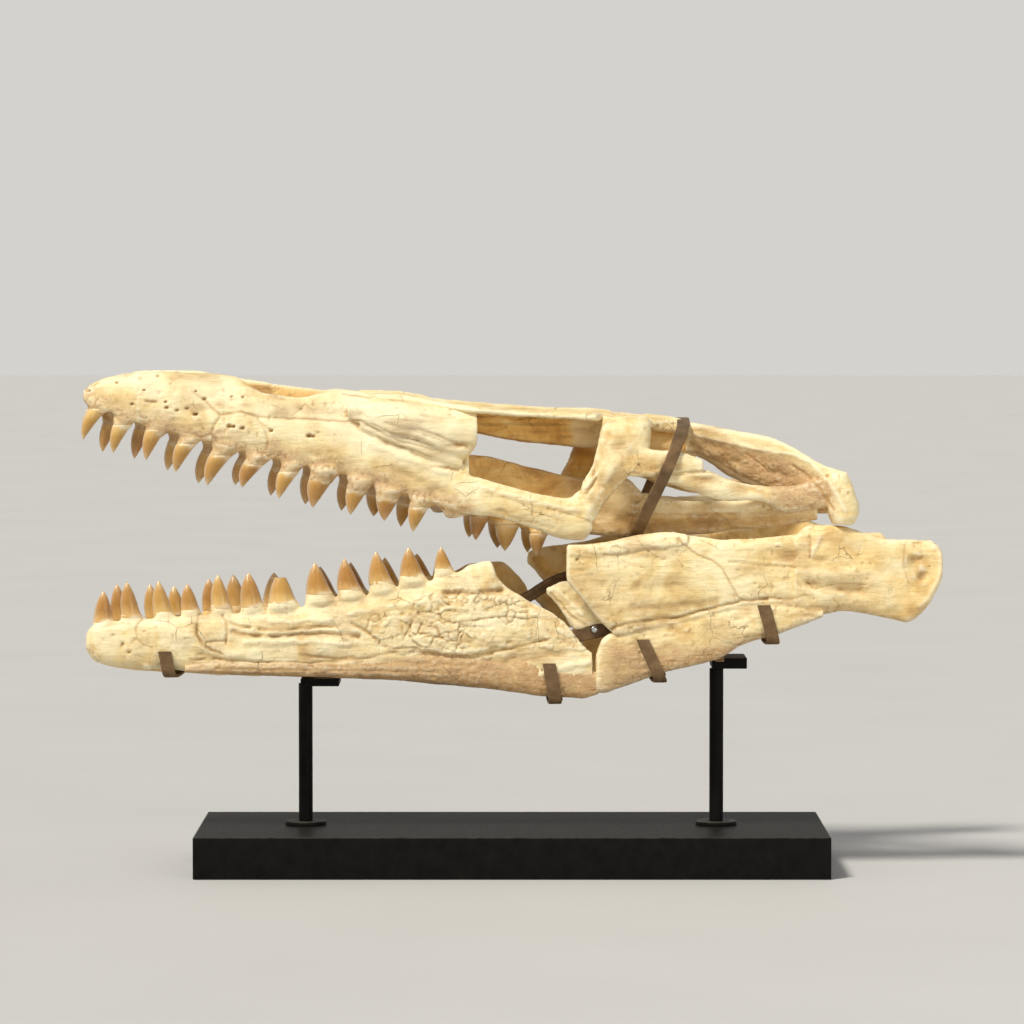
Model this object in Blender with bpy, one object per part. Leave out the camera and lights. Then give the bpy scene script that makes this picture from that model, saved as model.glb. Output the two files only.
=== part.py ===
"""Mosasaur skull with its jaws open, on a display stand, at life size.

The skull has its own frame, in millimetres: x runs back from between the eyes,
y runs to the animal's right, and z is the height above the floor. A bone is a
loft of closed sections. Left and right bones share one row table, apart from a
few rows where the right half of the jaw keeps more of its bones. The head is
then turned a little on the stand.
"""
import math

import bmesh
import bpy
import numpy as np

MM = 0.001              # every size below is in millimetres

HEAD_YAW = math.radians(8.0)     # the snout is turned towards -Y
FLAT_ANGLE = math.radians(0.8)   # faces that meet at less than this become one
SEAM = 0.5                       # width left between neighbouring pieces

RIGHT_JAW_FALL = [               # x, and how far the right half of the jaw hangs below the left
    (-425, 4), (-150, 7), (-30, 9), (60, 9), (150, 5), (220, 2), (300, 2), (415, 5),
]

BASE_LENGTH = 626.0
BASE_DEPTH = 230.0
BASE_HEIGHT = 41.5
BASE_BEVEL = 1.2
ROD_RADIUS = 7.0
ROD_PLACES = (-207.0, 205.0)     # along the base
ROD_TOPS = (184.0, 199.0)
PLATES = [                       # name, left, right, near, far, bottom and top
    ("front", -210.0, -172.0, -45.0, 14.0, 184.3, 192.0),
    ("rear", 200.0, 235.0, -14.0, 45.0, 199.3, 210.0),
]
DISC_RADIUS = 20.5
DISC_HEIGHT = 4.0
STAND_GAP = 0.3                  # between the pieces of the stand
STRAP_WIDTH = 13.0
STRAP_THICKNESS = 3.0
STRAP_SKEW = math.tan(HEAD_YAW)  # straps and clips stand square to the base
STRAP_CENTRE = -35.0             # the side distance at which the strap has its stated x
SPINE_HEIGHT = 11.0
SPINE_THICKNESS = 6.0
CRADLE_WIDTH = 14.0
CRADLE_THICKNESS = 7.0
TIE_WIDTH = 14.0

# Midline bones: x, top, bottom, half width
SNOUT = [
    (-427, 477, 466, 6), (-420, 484, 457, 14), (-405, 491, 447, 21), (-370, 497, 437, 28),
    (-310, 495, 421, 34), (-240, 486, 403, 41), (-165, 478, 386, 50), (-100, 472, 364, 60),
    (-70, 468, 354, 64), (-50, 464, 358, 65),
]
NASAL_BAR = [
    (-400, 492.5, 470, 8), (-360, 498.5, 478, 8), (-310, 496.5, 475, 7), (-240, 487.5, 468, 5),
    (-200, 484, 466, 7),
]
BRAINCASE = [
    (100, 447, 418, 16), (130, 443, 410, 24), (160, 441, 406, 28), (180, 438, 409, 24),
    (190, 432, 412, 14), (200, 427, 415, 9),
]
# Roof plates: x, top, half width, drop to the rim, thickness of the rim, depth of the keel
FRONTAL = [
    (-208, 480, 7, 1, 5, 7), (-175, 478, 15, 2, 7, 10), (-120, 475, 36, 2, 7, 16),
    (-75, 468, 60, 2, 7, 24), (-40, 464, 76, 2, 7, 29), (10, 460, 82, 2, 7, 34),
    (72, 457.5, 81, 2, 8, 37), (82, 457, 62, 2, 8, 36), (108, 454, 56, 3, 9, 28),
]
PARIETAL = [
    (108.5, 454, 56, 3, 9, 20), (124, 453, 44, 4, 9, 18), (155, 451, 31, 5, 12, 18),
    (198, 440, 42, 4, 9, 12),
]
# Paired bones: x, top, bottom, outer face, thickness, outward lean of the top
PREFRONTAL = [
    (-170, 466, 451, 49, 10, 0), (-140, 468, 438, 58, 22, -4), (-110, 467, 431, 66, 32, -5),
    (-80, 464, 416, 71, 36, -4), (-58, 462, 408, 73, 34, -2), (-44, 459, 424, 73, 26, 0),
]
JUGAL = [
    (-80, 385, 368, 68, 8, 0), (-60, 400, 358, 71, 15, 0), (-34, 391, 355, 74, 17, 0),
    (0, 381, 346, 79, 17, 0), (45, 373, 331, 83, 17, 0), (60, 380, 330, 84, 16, 0),
    (68, 376, 340, 85, 12, 0),
]
TEMPORAL_PROCESS = [
    (100, 436, 394, 91, 17, 0), (126, 420, 393, 94, 15, 0), (154, 418, 391, 95, 14, 0),
    (177, 410, 391, 95, 11, 0),
]
SQUAMOSAL = [
    (138, 399, 389, 95, 9, 0), (178, 402, 375, 97, 14, 0), (206, 392, 369, 98, 15, 0),
    (230, 386, 370, 99, 15, 0), (262, 384, 358, 103, 16, 0), (298, 394, 362, 110, 16, 0),
]
SUPRATEMPORAL = [
    (172, 446, 416, 36, 16, 6), (200, 441, 401, 48, 18, 9), (225, 436, 388, 62, 18, 12),
    (250, 431, 380, 77, 18, 13), (273, 420, 368, 90, 18, 13), (290, 409, 358, 99, 18, 11),
    (308, 401, 356, 106, 16, 8), (320, 398, 378, 110, 12, 4),
]
PTERYGOID = [
    (-95, 402, 376, 30, 14, 0), (-45, 413, 356, 34, 18, 0), (30, 398, 337, 40, 18, 0),
    (80, 388, 334, 46, 16, 0), (108, 391, 332, 50, 14, 0), (126, 375, 333, 54, 14, 0),
    (180, 368, 335, 66, 15, 0), (221, 370, 341, 78, 15, 0), (241, 377, 342, 85, 14, 0),
    (292, 364, 350, 99, 10, 0),
]
DENTARY = [
    (-425, 242, 225, 16, 10, 0), (-417, 253, 213, 23, 18, 0), (-395, 261, 207, 28, 24, 0),
    (-330, 266, 202, 35, 26, 0), (-240, 269, 197, 46, 26, 0), (-180, 275, 196, 52, 24, 0),
    (-102, 290, 193, 60, 22, 0), (-70, 300, 188, 63, 21, 0), (-30, 310, 185, 67, 17, 0),
    (-22, 293, 185, 68, 16, 0), (0, 276, 183, 69, 15, 0), (43, 250, 176, 72, 14, 0),
    (57, 230, 175, 73, 13, 0), (70, 219, 176, 74, 12, 0),
]
SPLENIAL = [
    (-330, 208, 201, 36, 18, 0), (-290, 213, 199, 40, 22, 0), (-180, 213, 194.5, 52, 24, 0),
    (-110, 221, 191.5, 59.5, 22, 0), (-30, 217, 183.5, 67, 18, 0), (60, 208, 173, 73.5, 14, 0),
    (77, 198, 178, 75, 10, 0),
]
CORONOID = [
    (45, 326.5, 312, 79, 9, 0), (80, 328.5, 314, 84, 14, 0), (116, 335.5, 318, 88, 18, 0),
    (146, 338.5, 322, 91, 19, 0), (162, 336, 326, 92.5, 16, 0),
]
SURANGULAR = [
    (44, 324, 290, 78, 7, 0), (58, 325, 274, 80, 10, 0), (78, 326, 250, 83, 13, 0),
    (95, 328, 237, 85, 15, 0), (118, 333, 239, 88, 17, 0), (157, 335, 244, 92, 18, 0),
    (196, 331, 254, 97, 18, 0), (230, 333, 260, 102, 18, 0), (264, 336, 258, 108, 18, 0),
    (276, 338, 266, 110, 16, 0),
]
ANGULAR = [
    (74, 217, 180, 76, 12, 0), (80, 232, 179, 78, 14, 0), (97, 242, 184, 81, 16, 0),
    (127, 250, 195, 86, 17, 0), (157, 253, 204, 91, 18, 0), (192, 262, 212, 96, 18, 0),
    (217, 268, 226, 100, 18, 0), (245, 270, 235, 105, 17, 0), (270, 266, 245, 110, 15, 0),
    (294, 262, 255, 116, 10, 0),
]
ARTICULAR = [
    (266, 334, 263, 111, 18, 0), (282, 345, 257, 116, 26, 0), (300, 346, 258, 120, 30, 0),
    (315, 345, 261, 120, 30, 0), (336, 338, 258, 119, 24, 0), (356, 332, 254, 119, 20, 0),
    (378, 331, 249, 120, 18, 0), (400, 331, 266, 121, 16, 0), (409, 324, 284, 121, 12, 0),
    (413, 312, 296, 120, 7, 0),
]
PREARTICULAR = [
    (28, 282, 276, 50, 4, 0), (36, 286, 268, 52, 5, 0), (44, 289, 257, 54, 6, 0),
    (56, 290, 241, 57, 7, 0), (80, 280, 247, 62, 7, 0), (130, 266, 240, 68.5, 8, 0),
    (200, 272, 246, 78, 8, 0), (262, 285, 264, 88, 8, 0),
]
# Rows of the right half of the jaw that take the place of the left one's
RIGHT_DENTARY = [
    (-30, 310, 185, 67, 17, 0), (-3, 312, 183, 69, 15, 0), (12, 301, 181, 70, 14, 0),
    (25, 284, 180, 71, 14, 0), (30, 262, 179, 71.5, 14, 0),
]
RIGHT_CORONOID = [(27, 321, 313, 77, 7, 0)]
RIGHT_SURANGULAR = [(26, 316, 309, 76, 5, 0), (34, 320, 301, 77, 6, 0)]
# Upright bones: z, front, rear, outer face, inner face
QUADRATE = [
    (346.5, 305, 325, 118, 94), (353, 302, 329, 120, 92), (360, 300, 331, 119, 92),
    (375, 299, 328, 118, 92), (391, 299, 323, 115, 92), (398, 303, 317, 112, 94),
]
POSTORBITAL_BAR = [
    (352, 58, 72, 86, 75), (366, 58, 79, 87, 73), (380, 58, 91, 88, 72), (406, 70, 116, 90, 70),
    (424, 75, 126, 90, 66), (444, 79, 128, 86, 58), (453.5, 82, 126, 78, 50),
]
# Teeth: front and rear of the root, height of the gum line, x and z of the tip
UPPER_TEETH = [
    (-421, -408, 456, -428, 431), (-397, -382, 445, -399, 417), (-366, -348, 442, -367, 410),
    (-334, -316, 430, -338, 398), (-300, -278, 421, -307, 385), (-267, -247, 412, -273, 383),
    (-233, -215, 404, -237, 372), (-204, -180, 398, -204, 363), (-167, -147, 388, -167, 356),
    (-139, -118, 378, -134, 350), (-106, -88, 370, -106, 339),
]
PREMAXILLARY_TEETH = 2           # the first teeth of the upper row stand in the premaxilla
LOWER_TEETH = [
    (-417, -400, 256, -409, 281), (-390, -374, 262, -386, 290), (-358, -342, 262, -355, 291),
    (-331, -316, 264, -327, 288), (-302, -286, 268, -297, 297), (-273, -254, 268, -267, 299),
    (-247, -221, 270, -236, 301), (-210, -184, 273, -202, 309), (-179, -155, 277, -173, 313),
    (-148, -124, 283, -142, 320), (-118, -94, 291, -110, 324), (-84, -66, 299, -78, 324),
]
PTERYGOID_TEETH = [
    (-45, -26, 355, -40, 329), (-20, 2, 345, -11, 318), (14, 31, 337, 20, 313),
]
# How far each tooth of the right rows stands from its left fellow, along the head, and how much
# nearer the bone its tip is.
RIGHT_UPPER_SHIFT = [
    (0, 0), (-9, 0), (-9, 0), (-5, 0), (-5, 0), (-2, 0), (-2, 0), (0, 0), (0, 0), (0, 0), (0, 0),
]
RIGHT_LOWER_SHIFT = [
    (0, 0), (-8, 0), (-6, 1), (-10, 0), (-5, 2), (-10, 0), (0, 0), (13, 2), (15, 2), (19, 4),
    (20, 4), (12, 4),
]
PREMAXILLA_END = -377.0          # where the premaxilla meets the maxillae
SNOUT_NARROWING = 0.5            # how much less wide the top of a midline bone is
BAR_NARROWING = 0.2
BRAINCASE_NARROWING = 0.1
SNOUT_LOW = 300.0                # the heights between which the snout is parted
SNOUT_HIGH = 540.0
SNOUT_SIDE = 120.0
UPPER_TOOTH_INSET = 8.0          # from the bone's outer face to the middle of a tooth
LOWER_TOOTH_INSET = 11.0
PALATE_TOOTH_INSET = 9.0
TOOTH_SIDES = 6
ROOT_DEPTH = 15.0                # how far a root goes into its bone
TOOTH_BEND = 0.55                # how far the middle of a tooth has moved towards its tip
TOOTH_TAPER = 0.72               # its thickness there over its thickness at the root
TOOTH_FLATNESS = 0.82            # side-to-side size of a tooth over its length along the jaw

# Clips under the jaw: x, height of the outer end, bottom, outer face, inner face, rake,
# x on the spine, rise of the bottom towards the inner leg, and how far back that leg is
CLIPS = [
    (-348, 222, 197, 33, 7, -0.17, -322, 5, 14), (30, 209, 171, 72, 56, -0.18, -6, 0, 0),
    (127, 233, 192, 87, 59, -0.45, 127, 0, 0), (241, 267, 230, 105, 75, -0.28, 241, 0, 0),
]
SPINE = [
    (-345, 216), (-205, 222), (-60, 240), (13, 267.5), (35, 282.5), (56, 291.5), (120, 300),
    (216, 297),
]
FRONT_POST = ((-211, -5, 192.3), (-199, 5, 217))
CRADLE_POST = ((144, -5, 302), (156, 5, 325.7))
CRADLE = [(150, -70, 329.5), (150, 70, 329.5)]
STRAP_TOP = [(168, -34, 444.8), (168, 0, 449.4), (168, 34, 444.8)]
STRAP_SIDE = [                   # down from the roof, round the cheek and in to the spine
    (168, 35, 444.5), (166, 60, 439.5), (161, 88, 429.5), (154, 98.5, 412), (145, 99, 392),
    (123, 72, 345), (115, 58, 325), (109, 4, 303),
]
TIE = [(38, -53, 231), (112, -53, 246)]  # the bar behind the left half of the jaw
BOLT_PLACE = (75.0, 241.0)       # x and z of the bolt in that bar
BOLT_RADIUS = 4.2
BOLT_DOME = [(0.0, 1.0), (2.0, 1.0), (3.4, 0.7), (4.0, 0.0)]  # depth, share of the radius
REAR_POST = [                    # across and up, from the spine to over the plate's near edge
    (27, 291), (29, 212.5), (-15.8, 212.5), (-15.8, 206.5),
]
REAR_POST_PLACE = 207.5
REAR_POST_WIDTH = 9.0

BONE = (0.78, 0.66, 0.44)
STEEL = (0.11, 0.085, 0.06)
BLACK = (0.012, 0.011, 0.010)
BOLT = (0.6, 0.6, 0.6)


def clear_scene():
    for thing in list(bpy.data.objects):
        bpy.data.objects.remove(thing, do_unlink=True)


def finish_of(name, colour, roughness, metallic):
    """A Principled material of its own for one piece."""
    material = bpy.data.materials.new(name)
    material.use_nodes = True
    shader = material.node_tree.nodes["Principled BSDF"]
    shader.inputs["Base Color"].default_value = (*colour, 1.0)
    shader.inputs["Roughness"].default_value = roughness
    shader.inputs["Metallic"].default_value = metallic
    return material


def add_object(name, mesh, finish):
    thing = bpy.data.objects.new(name, mesh)
    bpy.context.scene.collection.objects.link(thing)
    mesh.materials.clear()
    mesh.materials.append(finish_of(name, *finish))
    return thing


def fall(x, side):
    """How far the right half of the jaw lies below the left half at x."""
    places, depths = zip(*RIGHT_JAW_FALL)
    return np.interp(x, places, depths) if side > 0.0 else 0.0 * np.asarray(x, float)


def turned(points):
    """The points of the skull, turned on the stand."""
    x, y, z = np.asarray(points, float).T
    ahead = x * math.cos(HEAD_YAW) - y * math.sin(HEAD_YAW)
    across = x * math.sin(HEAD_YAW) + y * math.cos(HEAD_YAW)
    return np.column_stack([ahead, across, z])


def tube_mesh(name, rings):
    """A closed mesh through rings of points, with flat ends or a last ring of one point."""
    shape = bmesh.new()
    loops = []
    for ring in rings:
        loops.append([shape.verts.new(point * MM) for point in ring])
    for first, second in zip(loops, loops[1:]):
        count = len(first)
        for i in range(count):
            j = (i + 1) % count
            if len(second) == 1:
                shape.faces.new((first[i], first[j], second[0]))
            else:
                shape.faces.new((first[i], first[j], second[j], second[i]))
    shape.faces.new(loops[0][::-1])
    if len(loops[-1]) > 2:
        shape.faces.new(loops[-1])
    bmesh.ops.recalc_face_normals(shape, faces=shape.faces)
    bmesh.ops.triangulate(shape, faces=shape.faces)
    mesh = bpy.data.meshes.new(name)
    shape.to_mesh(mesh)
    shape.free()
    return mesh


def oval(count, power):
    """Points round a unit oval that is squarer the larger its power is."""
    angle = (np.arange(count) + 0.5) * 2.0 * math.pi / count
    across = np.sign(np.cos(angle)) * np.abs(np.cos(angle)) ** (2.0 / power)
    up = np.sign(np.sin(angle)) * np.abs(np.sin(angle)) ** (2.0 / power)
    return across, up


def place(rings):
    """Rings of the skull's own frame, turned to where they stand in the world."""
    return [turned(ring) for ring in rings]


def rows_of(rows, side, right_rows):
    """The rows of a jaw bone, with those of the right half put in on that side."""
    if side < 0.0:
        return rows
    first, last = right_rows[0][0], right_rows[-1][0]
    kept = [row for row in rows if not first <= row[0] <= last]
    return sorted(kept + right_rows)


def lowered(rings, side):
    """The rings of a jaw bone: those of the right half lie a little lower."""
    return [ring - np.array([0.0, 0.0, 1.0]) * fall(ring[:, 0], side)[:, None] for ring in rings]


def long_rings(rows, side, count=8, power=2.6):
    """Sections across x for a bone that runs along the head."""
    across, up = oval(count, power)
    rings = []
    for x, top, bottom, outer, thickness, lean in rows:
        reach = outer - thickness / 2.0
        y = reach + across * thickness / 2.0 + up * lean / 2.0
        z = (top + bottom) / 2.0 + up * (top - bottom) / 2.0
        rings.append(np.column_stack([np.full(count, x), side * y, z]))
    return rings


def tall_rings(rows, side, count=8, power=2.6):
    """Sections across z for a bone that stands upright."""
    along, across = oval(count, power)
    rings = []
    for z, front, rear, outer, inner in rows:
        x = (front + rear) / 2.0 + along * (rear - front) / 2.0
        y = (outer + inner) / 2.0 + across * (outer - inner) / 2.0
        rings.append(np.column_stack([x, side * y, np.full(count, z)]))
    return rings


def midline_rings(rows, narrowing, count=12, power=3.4):
    """Sections across x for a bone on the midline, narrower at the top."""
    across, up = oval(count, power)
    rings = []
    for x, top, bottom, half_width in rows:
        y = across * half_width * (1.0 - narrowing * (up + 1.0) / 2.0)
        z = (top + bottom) / 2.0 + up * (top - bottom) / 2.0
        rings.append(np.column_stack([np.full(count, x), y, z]))
    return rings


def roof_rings(rows):
    """Sections across x for a plate of the skull roof, with a keel below."""
    rings = []
    for x, top, half_width, drop, rim, keel in rows:
        edge = top - drop
        half = [(0.0, top), (0.6, top - 0.3 * drop), (1.0, edge - 0.2 * rim),
                (1.0, edge - 0.9 * rim), (0.45, edge - rim - 1.0), (0.22, top - keel)]
        right = [(half_width * y, z) for y, z in half]
        left = [(-y, z) for y, z in right[:0:-1]]
        outline = np.array(right + left)
        rings.append(np.column_stack([np.full(len(outline), x), outline]))
    return rings


def island_sizes(shape):
    """The connected groups of vertices of a bmesh, the largest first."""
    unseen = set(shape.verts)
    groups = []
    while unseen:
        group = {unseen.pop()}
        edge_of_group = list(group)
        while edge_of_group:
            vertex = edge_of_group.pop()
            for edge in vertex.link_edges:
                other = edge.other_vert(vertex)
                if other in unseen:
                    unseen.discard(other)
                    group.add(other)
                    edge_of_group.append(other)
        groups.append(group)
    return sorted(groups, key=len, reverse=True)


def tidy_mesh(thing):
    """Drops the chips that a cut leaves beside a piece and joins its flat faces."""
    shape = bmesh.new()
    shape.from_mesh(thing.data)
    groups = island_sizes(shape)
    for group in groups[1:]:
        bmesh.ops.delete(shape, geom=list(group), context="VERTS")
    bmesh.ops.dissolve_limit(shape, angle_limit=FLAT_ANGLE, verts=shape.verts, edges=shape.edges)
    bmesh.ops.triangulate(shape, faces=shape.faces)
    shape.to_mesh(thing.data)
    shape.free()


def combine(thing, tool, operation):
    """Applies a Boolean to a piece and keeps its evaluated mesh."""
    step = thing.modifiers.new("boolean", "BOOLEAN")
    step.object = tool
    step.operation = operation
    step.solver = "EXACT"
    graph = bpy.context.evaluated_depsgraph_get()
    mesh = bpy.data.meshes.new_from_object(thing.evaluated_get(graph))
    thing.modifiers.clear()
    material = thing.data.materials[0]
    thing.data = mesh
    mesh.materials.clear()
    mesh.materials.append(material)


def grown_copy(thing, amount):
    """A cutter: the piece, with every point moved out along its normal."""
    mesh = thing.data.copy()
    normals = [vertex.normal.copy() for vertex in mesh.vertices]
    for vertex, normal in zip(mesh.vertices, normals):
        vertex.co += normal * amount * MM
    return mesh


def boxes_meet(first, second, margin):
    """Whether two meshes' boxes come within a margin of each other."""
    low = []
    high = []
    for mesh in (first, second):
        points = np.array([vertex.co for vertex in mesh.vertices])
        low.append(points.min(axis=0))
        high.append(points.max(axis=0))
    reach = margin * MM
    return bool(np.all(low[0] <= high[1] + reach) and np.all(low[1] <= high[0] + reach))


def hidden(name, mesh):
    """A helper object that no build or render shows."""
    thing = bpy.data.objects.new(name, mesh)
    bpy.context.scene.collection.objects.link(thing)
    thing.hide_render = True
    thing.display_type = "WIRE"
    return thing


def separate(pieces, held=()):
    """Cuts each piece by all that come before it, so that a thin seam stays between them."""
    cutters = [grown_copy(piece, SEAM) for piece in (*held, *pieces)]
    for number, piece in enumerate(pieces, len(held)):
        for cutter in cutters[:number]:
            if boxes_meet(piece.data, cutter, 0.0):
                tool = hidden("cutter", cutter)
                combine(piece, tool, "DIFFERENCE")
                bpy.data.objects.remove(tool)
        tidy_mesh(piece)


def add_teeth(bone, teeth, side, reach, low=False):
    """Joins a row of curved conical teeth to the bone that they grow from."""
    across, along = oval(TOOTH_SIDES, 2.0)
    for front, rear, gum, tip_x, tip_z in teeth:
        up = 1.0 if tip_z > gum else -1.0
        middle = (front + rear) / 2.0
        half = (rear - front) / 2.0
        y = reach(middle)
        bend = middle + TOOTH_BEND * (tip_x - middle)
        stages = [
            (middle, gum - up * ROOT_DEPTH, half), (bend, (gum + tip_z) / 2.0, half * TOOTH_TAPER)]
        rings = [np.column_stack([
            x + along * size, side * (y + across * size * TOOTH_FLATNESS),
            np.full(TOOTH_SIDES, z)])
            for x, z, size in stages]
        rings.append(np.array([(tip_x, side * y, tip_z)], float))
        if low:
            rings = lowered(rings, side)
        tool = hidden("tooth", tube_mesh("tooth", place(rings)))
        combine(bone, tool, "UNION")
        bpy.data.objects.remove(tool)


def shifted(teeth, side, shifts):
    """A row of teeth: on the right side each is moved along the head by its own shift."""
    if side < 0.0:
        return teeth
    moved = []
    for (front, rear, gum, tip_x, tip_z), (along, less) in zip(teeth, shifts):
        up = 1.0 if tip_z > gum else -1.0
        moved.append((front + along, rear + along, gum, tip_x + along, tip_z - up * less))
    return moved


def table_reach(rows, inset):
    """The side distance of a tooth row, read from a bone's rows."""
    table = np.array(rows, float)
    return lambda x: float(np.interp(x, table[:, 0], table[:, 3])) - inset


def box_rings(low, high):
    """The bottom and top of a block between two corners."""
    return [np.array([(low[0], low[1], z), (high[0], low[1], z), (high[0], high[1], z),
                      (low[0], high[1], z)], float) for z in (low[2], high[2])]


def slab(name, low, high, finish):
    """A block between two corners of the skull's own frame, turned with the head."""
    return add_object(name, tube_mesh(name, place(box_rings(low, high))), finish)


def flat_bar(path, broad, width, thickness):
    """Rings of a flat bar along a path, broad along a given direction."""
    path = np.asarray(path, float)
    broad = np.asarray(broad, float) / np.linalg.norm(broad)
    ahead = np.gradient(path, axis=0)
    rings = []
    for point, way in zip(path, ahead):
        thin = np.cross(way, broad)
        thin /= np.linalg.norm(thin)
        side = broad * width / 2.0
        deep = thin * thickness / 2.0
        rings.append(np.array([
            point - side - deep, point + side - deep, point + side + deep, point - side + deep]))
    return rings


def cylinder(name, x, radius, low, high, finish, count=16):
    """A round upright piece on the base."""
    angle = np.arange(count) * 2.0 * math.pi / count
    rings = []
    for z in (low, high):
        rings.append(np.column_stack([
            x + radius * np.cos(angle), radius * np.sin(angle), np.full(count, z)]))
    thing = add_object(name, tube_mesh(name, rings), finish)
    thing.data.shade_smooth()
    thing.data.set_sharp_from_angle(angle=math.radians(40.0))
    return thing


STAND_FINISH = (BLACK, 0.45, 0.0)
STEEL_FINISH = (STEEL, 0.5, 0.85)
BOLT_FINISH = (BOLT, 0.25, 1.0)
BONE_FINISH = (BONE, 0.7, 0.0)


def make_stand():
    """The base, its two rods with their discs, and the plates under the jaw."""
    half = (BASE_LENGTH / 2.0, BASE_DEPTH / 2.0)
    rings = box_rings((-half[0], -half[1], 0.0), (*half, BASE_HEIGHT))
    base = add_object("stand_base", tube_mesh("stand_base", rings), STAND_FINISH)
    edge = base.modifiers.new("edge", "BEVEL")
    edge.width = BASE_BEVEL * MM
    edge.segments = 1
    for name, x, top in zip(("front", "rear"), ROD_PLACES, ROD_TOPS):
        foot = BASE_HEIGHT + STAND_GAP
        cylinder(f"stand_disc_{name}", x, DISC_RADIUS, foot, foot + DISC_HEIGHT, STAND_FINISH)
        cylinder(f"stand_rod_{name}", x, ROD_RADIUS, foot + DISC_HEIGHT + STAND_GAP, top, STAND_FINISH)


def make_plates():
    """The black plates on the rods, square to the base, which the posts stand on."""
    made = []
    for label, left, right, near, far, bottom, top in PLATES:
        rings = box_rings((left, near, bottom), (right, far, top))
        name = f"stand_plate_{label}"
        made.append(add_object(name, tube_mesh(name, rings), STAND_FINISH))
    return made


def make_spine():
    """The bar between the halves of the jaw, its posts, and the bars that stand on or by it."""
    path = [(x, 0.0, z) for x, z in SPINE]
    rings = flat_bar(path, (0, 1, 0), SPINE_THICKNESS, SPINE_HEIGHT)
    spine = add_object("armature_spine", tube_mesh("spine", place(rings)), STEEL_FINISH)
    front = slab("armature_post_front", *FRONT_POST, STEEL_FINISH)
    path = [(REAR_POST_PLACE, y, z) for y, z in REAR_POST]
    rings = flat_bar(path, (1, 0, 0), REAR_POST_WIDTH, STRAP_THICKNESS)
    rear = add_object("armature_post_rear", tube_mesh("post", rings), STEEL_FINISH)
    cradle_post = slab("armature_cradle_post", *CRADLE_POST, STEEL_FINISH)
    rings = flat_bar(CRADLE, (1, 0, 0), CRADLE_WIDTH, CRADLE_THICKNESS)
    cradle = add_object("armature_cradle", tube_mesh("cradle", place(rings)), STEEL_FINISH)
    rings = flat_bar(TIE, (0, 0, 1), TIE_WIDTH, STRAP_THICKNESS)
    tie = add_object("armature_tie", tube_mesh("tie", place(rings)), STEEL_FINISH)
    return [spine, front, rear, cradle_post, cradle, tie, make_bolt()]


def make_bolt():
    """The domed head of the bolt that goes through the tie."""
    face = TIE[0][1] - STRAP_THICKNESS / 2.0 - STAND_GAP
    angle = np.arange(10) * 2.0 * math.pi / 10
    rings = []
    for depth, size in BOLT_DOME:
        radius = BOLT_RADIUS * size
        ring = np.column_stack([
            BOLT_PLACE[0] + radius * np.cos(angle), np.full(10, face - depth),
            BOLT_PLACE[1] + radius * np.sin(angle)])
        rings.append(ring if radius else ring[:1])
    return add_object("armature_bolt", tube_mesh("bolt", place(rings)), BOLT_FINISH)


def spine_height(x):
    table = np.array(SPINE, float)
    return float(np.interp(x, table[:, 0], table[:, 1]))


def make_clips():
    """Flat hooks that leave the spine, pass under each half of the jaw and rise outside it."""
    made = []
    half = STRAP_THICKNESS / 2.0
    for number, (x, end, bottom, outer, inner, rake, start, rise, back) in enumerate(CLIPS, 1):
        spine = spine_height(start)
        shoulder = (spine + bottom) / 2.0 + 4.0
        for label, side in (("l", -1.0), ("r", 1.0)):
            across = 0.0 if side < 0.0 else 2.0 * outer * STRAP_SKEW
            low = float(fall(x, side)) if side < 0.0 else float(fall(x, side)) - rise
            profile = [
                (back, inner - half, shoulder), (back, inner - half, bottom - half + rise),
                (0.0, outer + half, bottom - half), (0.0, outer + half, end)]
            path = [(start + across, side * (SPINE_THICKNESS / 2.0 + 0.5), spine)]
            for shift, y, z in profile:
                along = x + across + shift + rake * (z - (end + bottom) / 2.0)
                path.append((along, side * y, z - low))
            rings = flat_bar(path, (1, 0, 0), STRAP_WIDTH, STRAP_THICKNESS)
            name = f"armature_clip_{number}_{label}"
            made.append(add_object(name, tube_mesh(name, place(rings)), STEEL_FINISH))
    return made


def make_strap():
    """The strap over the skull roof, in three lengths, which is tied down to the spine."""
    def skewed(points):
        return [(x + STRAP_SKEW * (y - STRAP_CENTRE), y, z) for x, y, z in points]

    rings = flat_bar(skewed(STRAP_TOP), (1, 0, 0), STRAP_WIDTH, STRAP_THICKNESS)
    made = [add_object("armature_strap_top", tube_mesh("strap", place(rings)), STEEL_FINISH)]
    for label, side in (("l", -1.0), ("r", 1.0)):
        path = skewed([(x, side * y, z) for x, y, z in STRAP_SIDE])
        rings = flat_bar(path, (1, 0, 0), STRAP_WIDTH, STRAP_THICKNESS)
        name = f"armature_strap_{label}"
        made.append(add_object(name, tube_mesh(name, place(rings)), STEEL_FINISH))
    return made


def bone(name, rings):
    return add_object(name, tube_mesh(name, place(rings)), BONE_FINISH)


def block(low, high):
    """A hidden block between two corners of the skull's own frame, to cut a bone with."""
    return hidden("block", tube_mesh("block", place(box_rings(low, high))))


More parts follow.
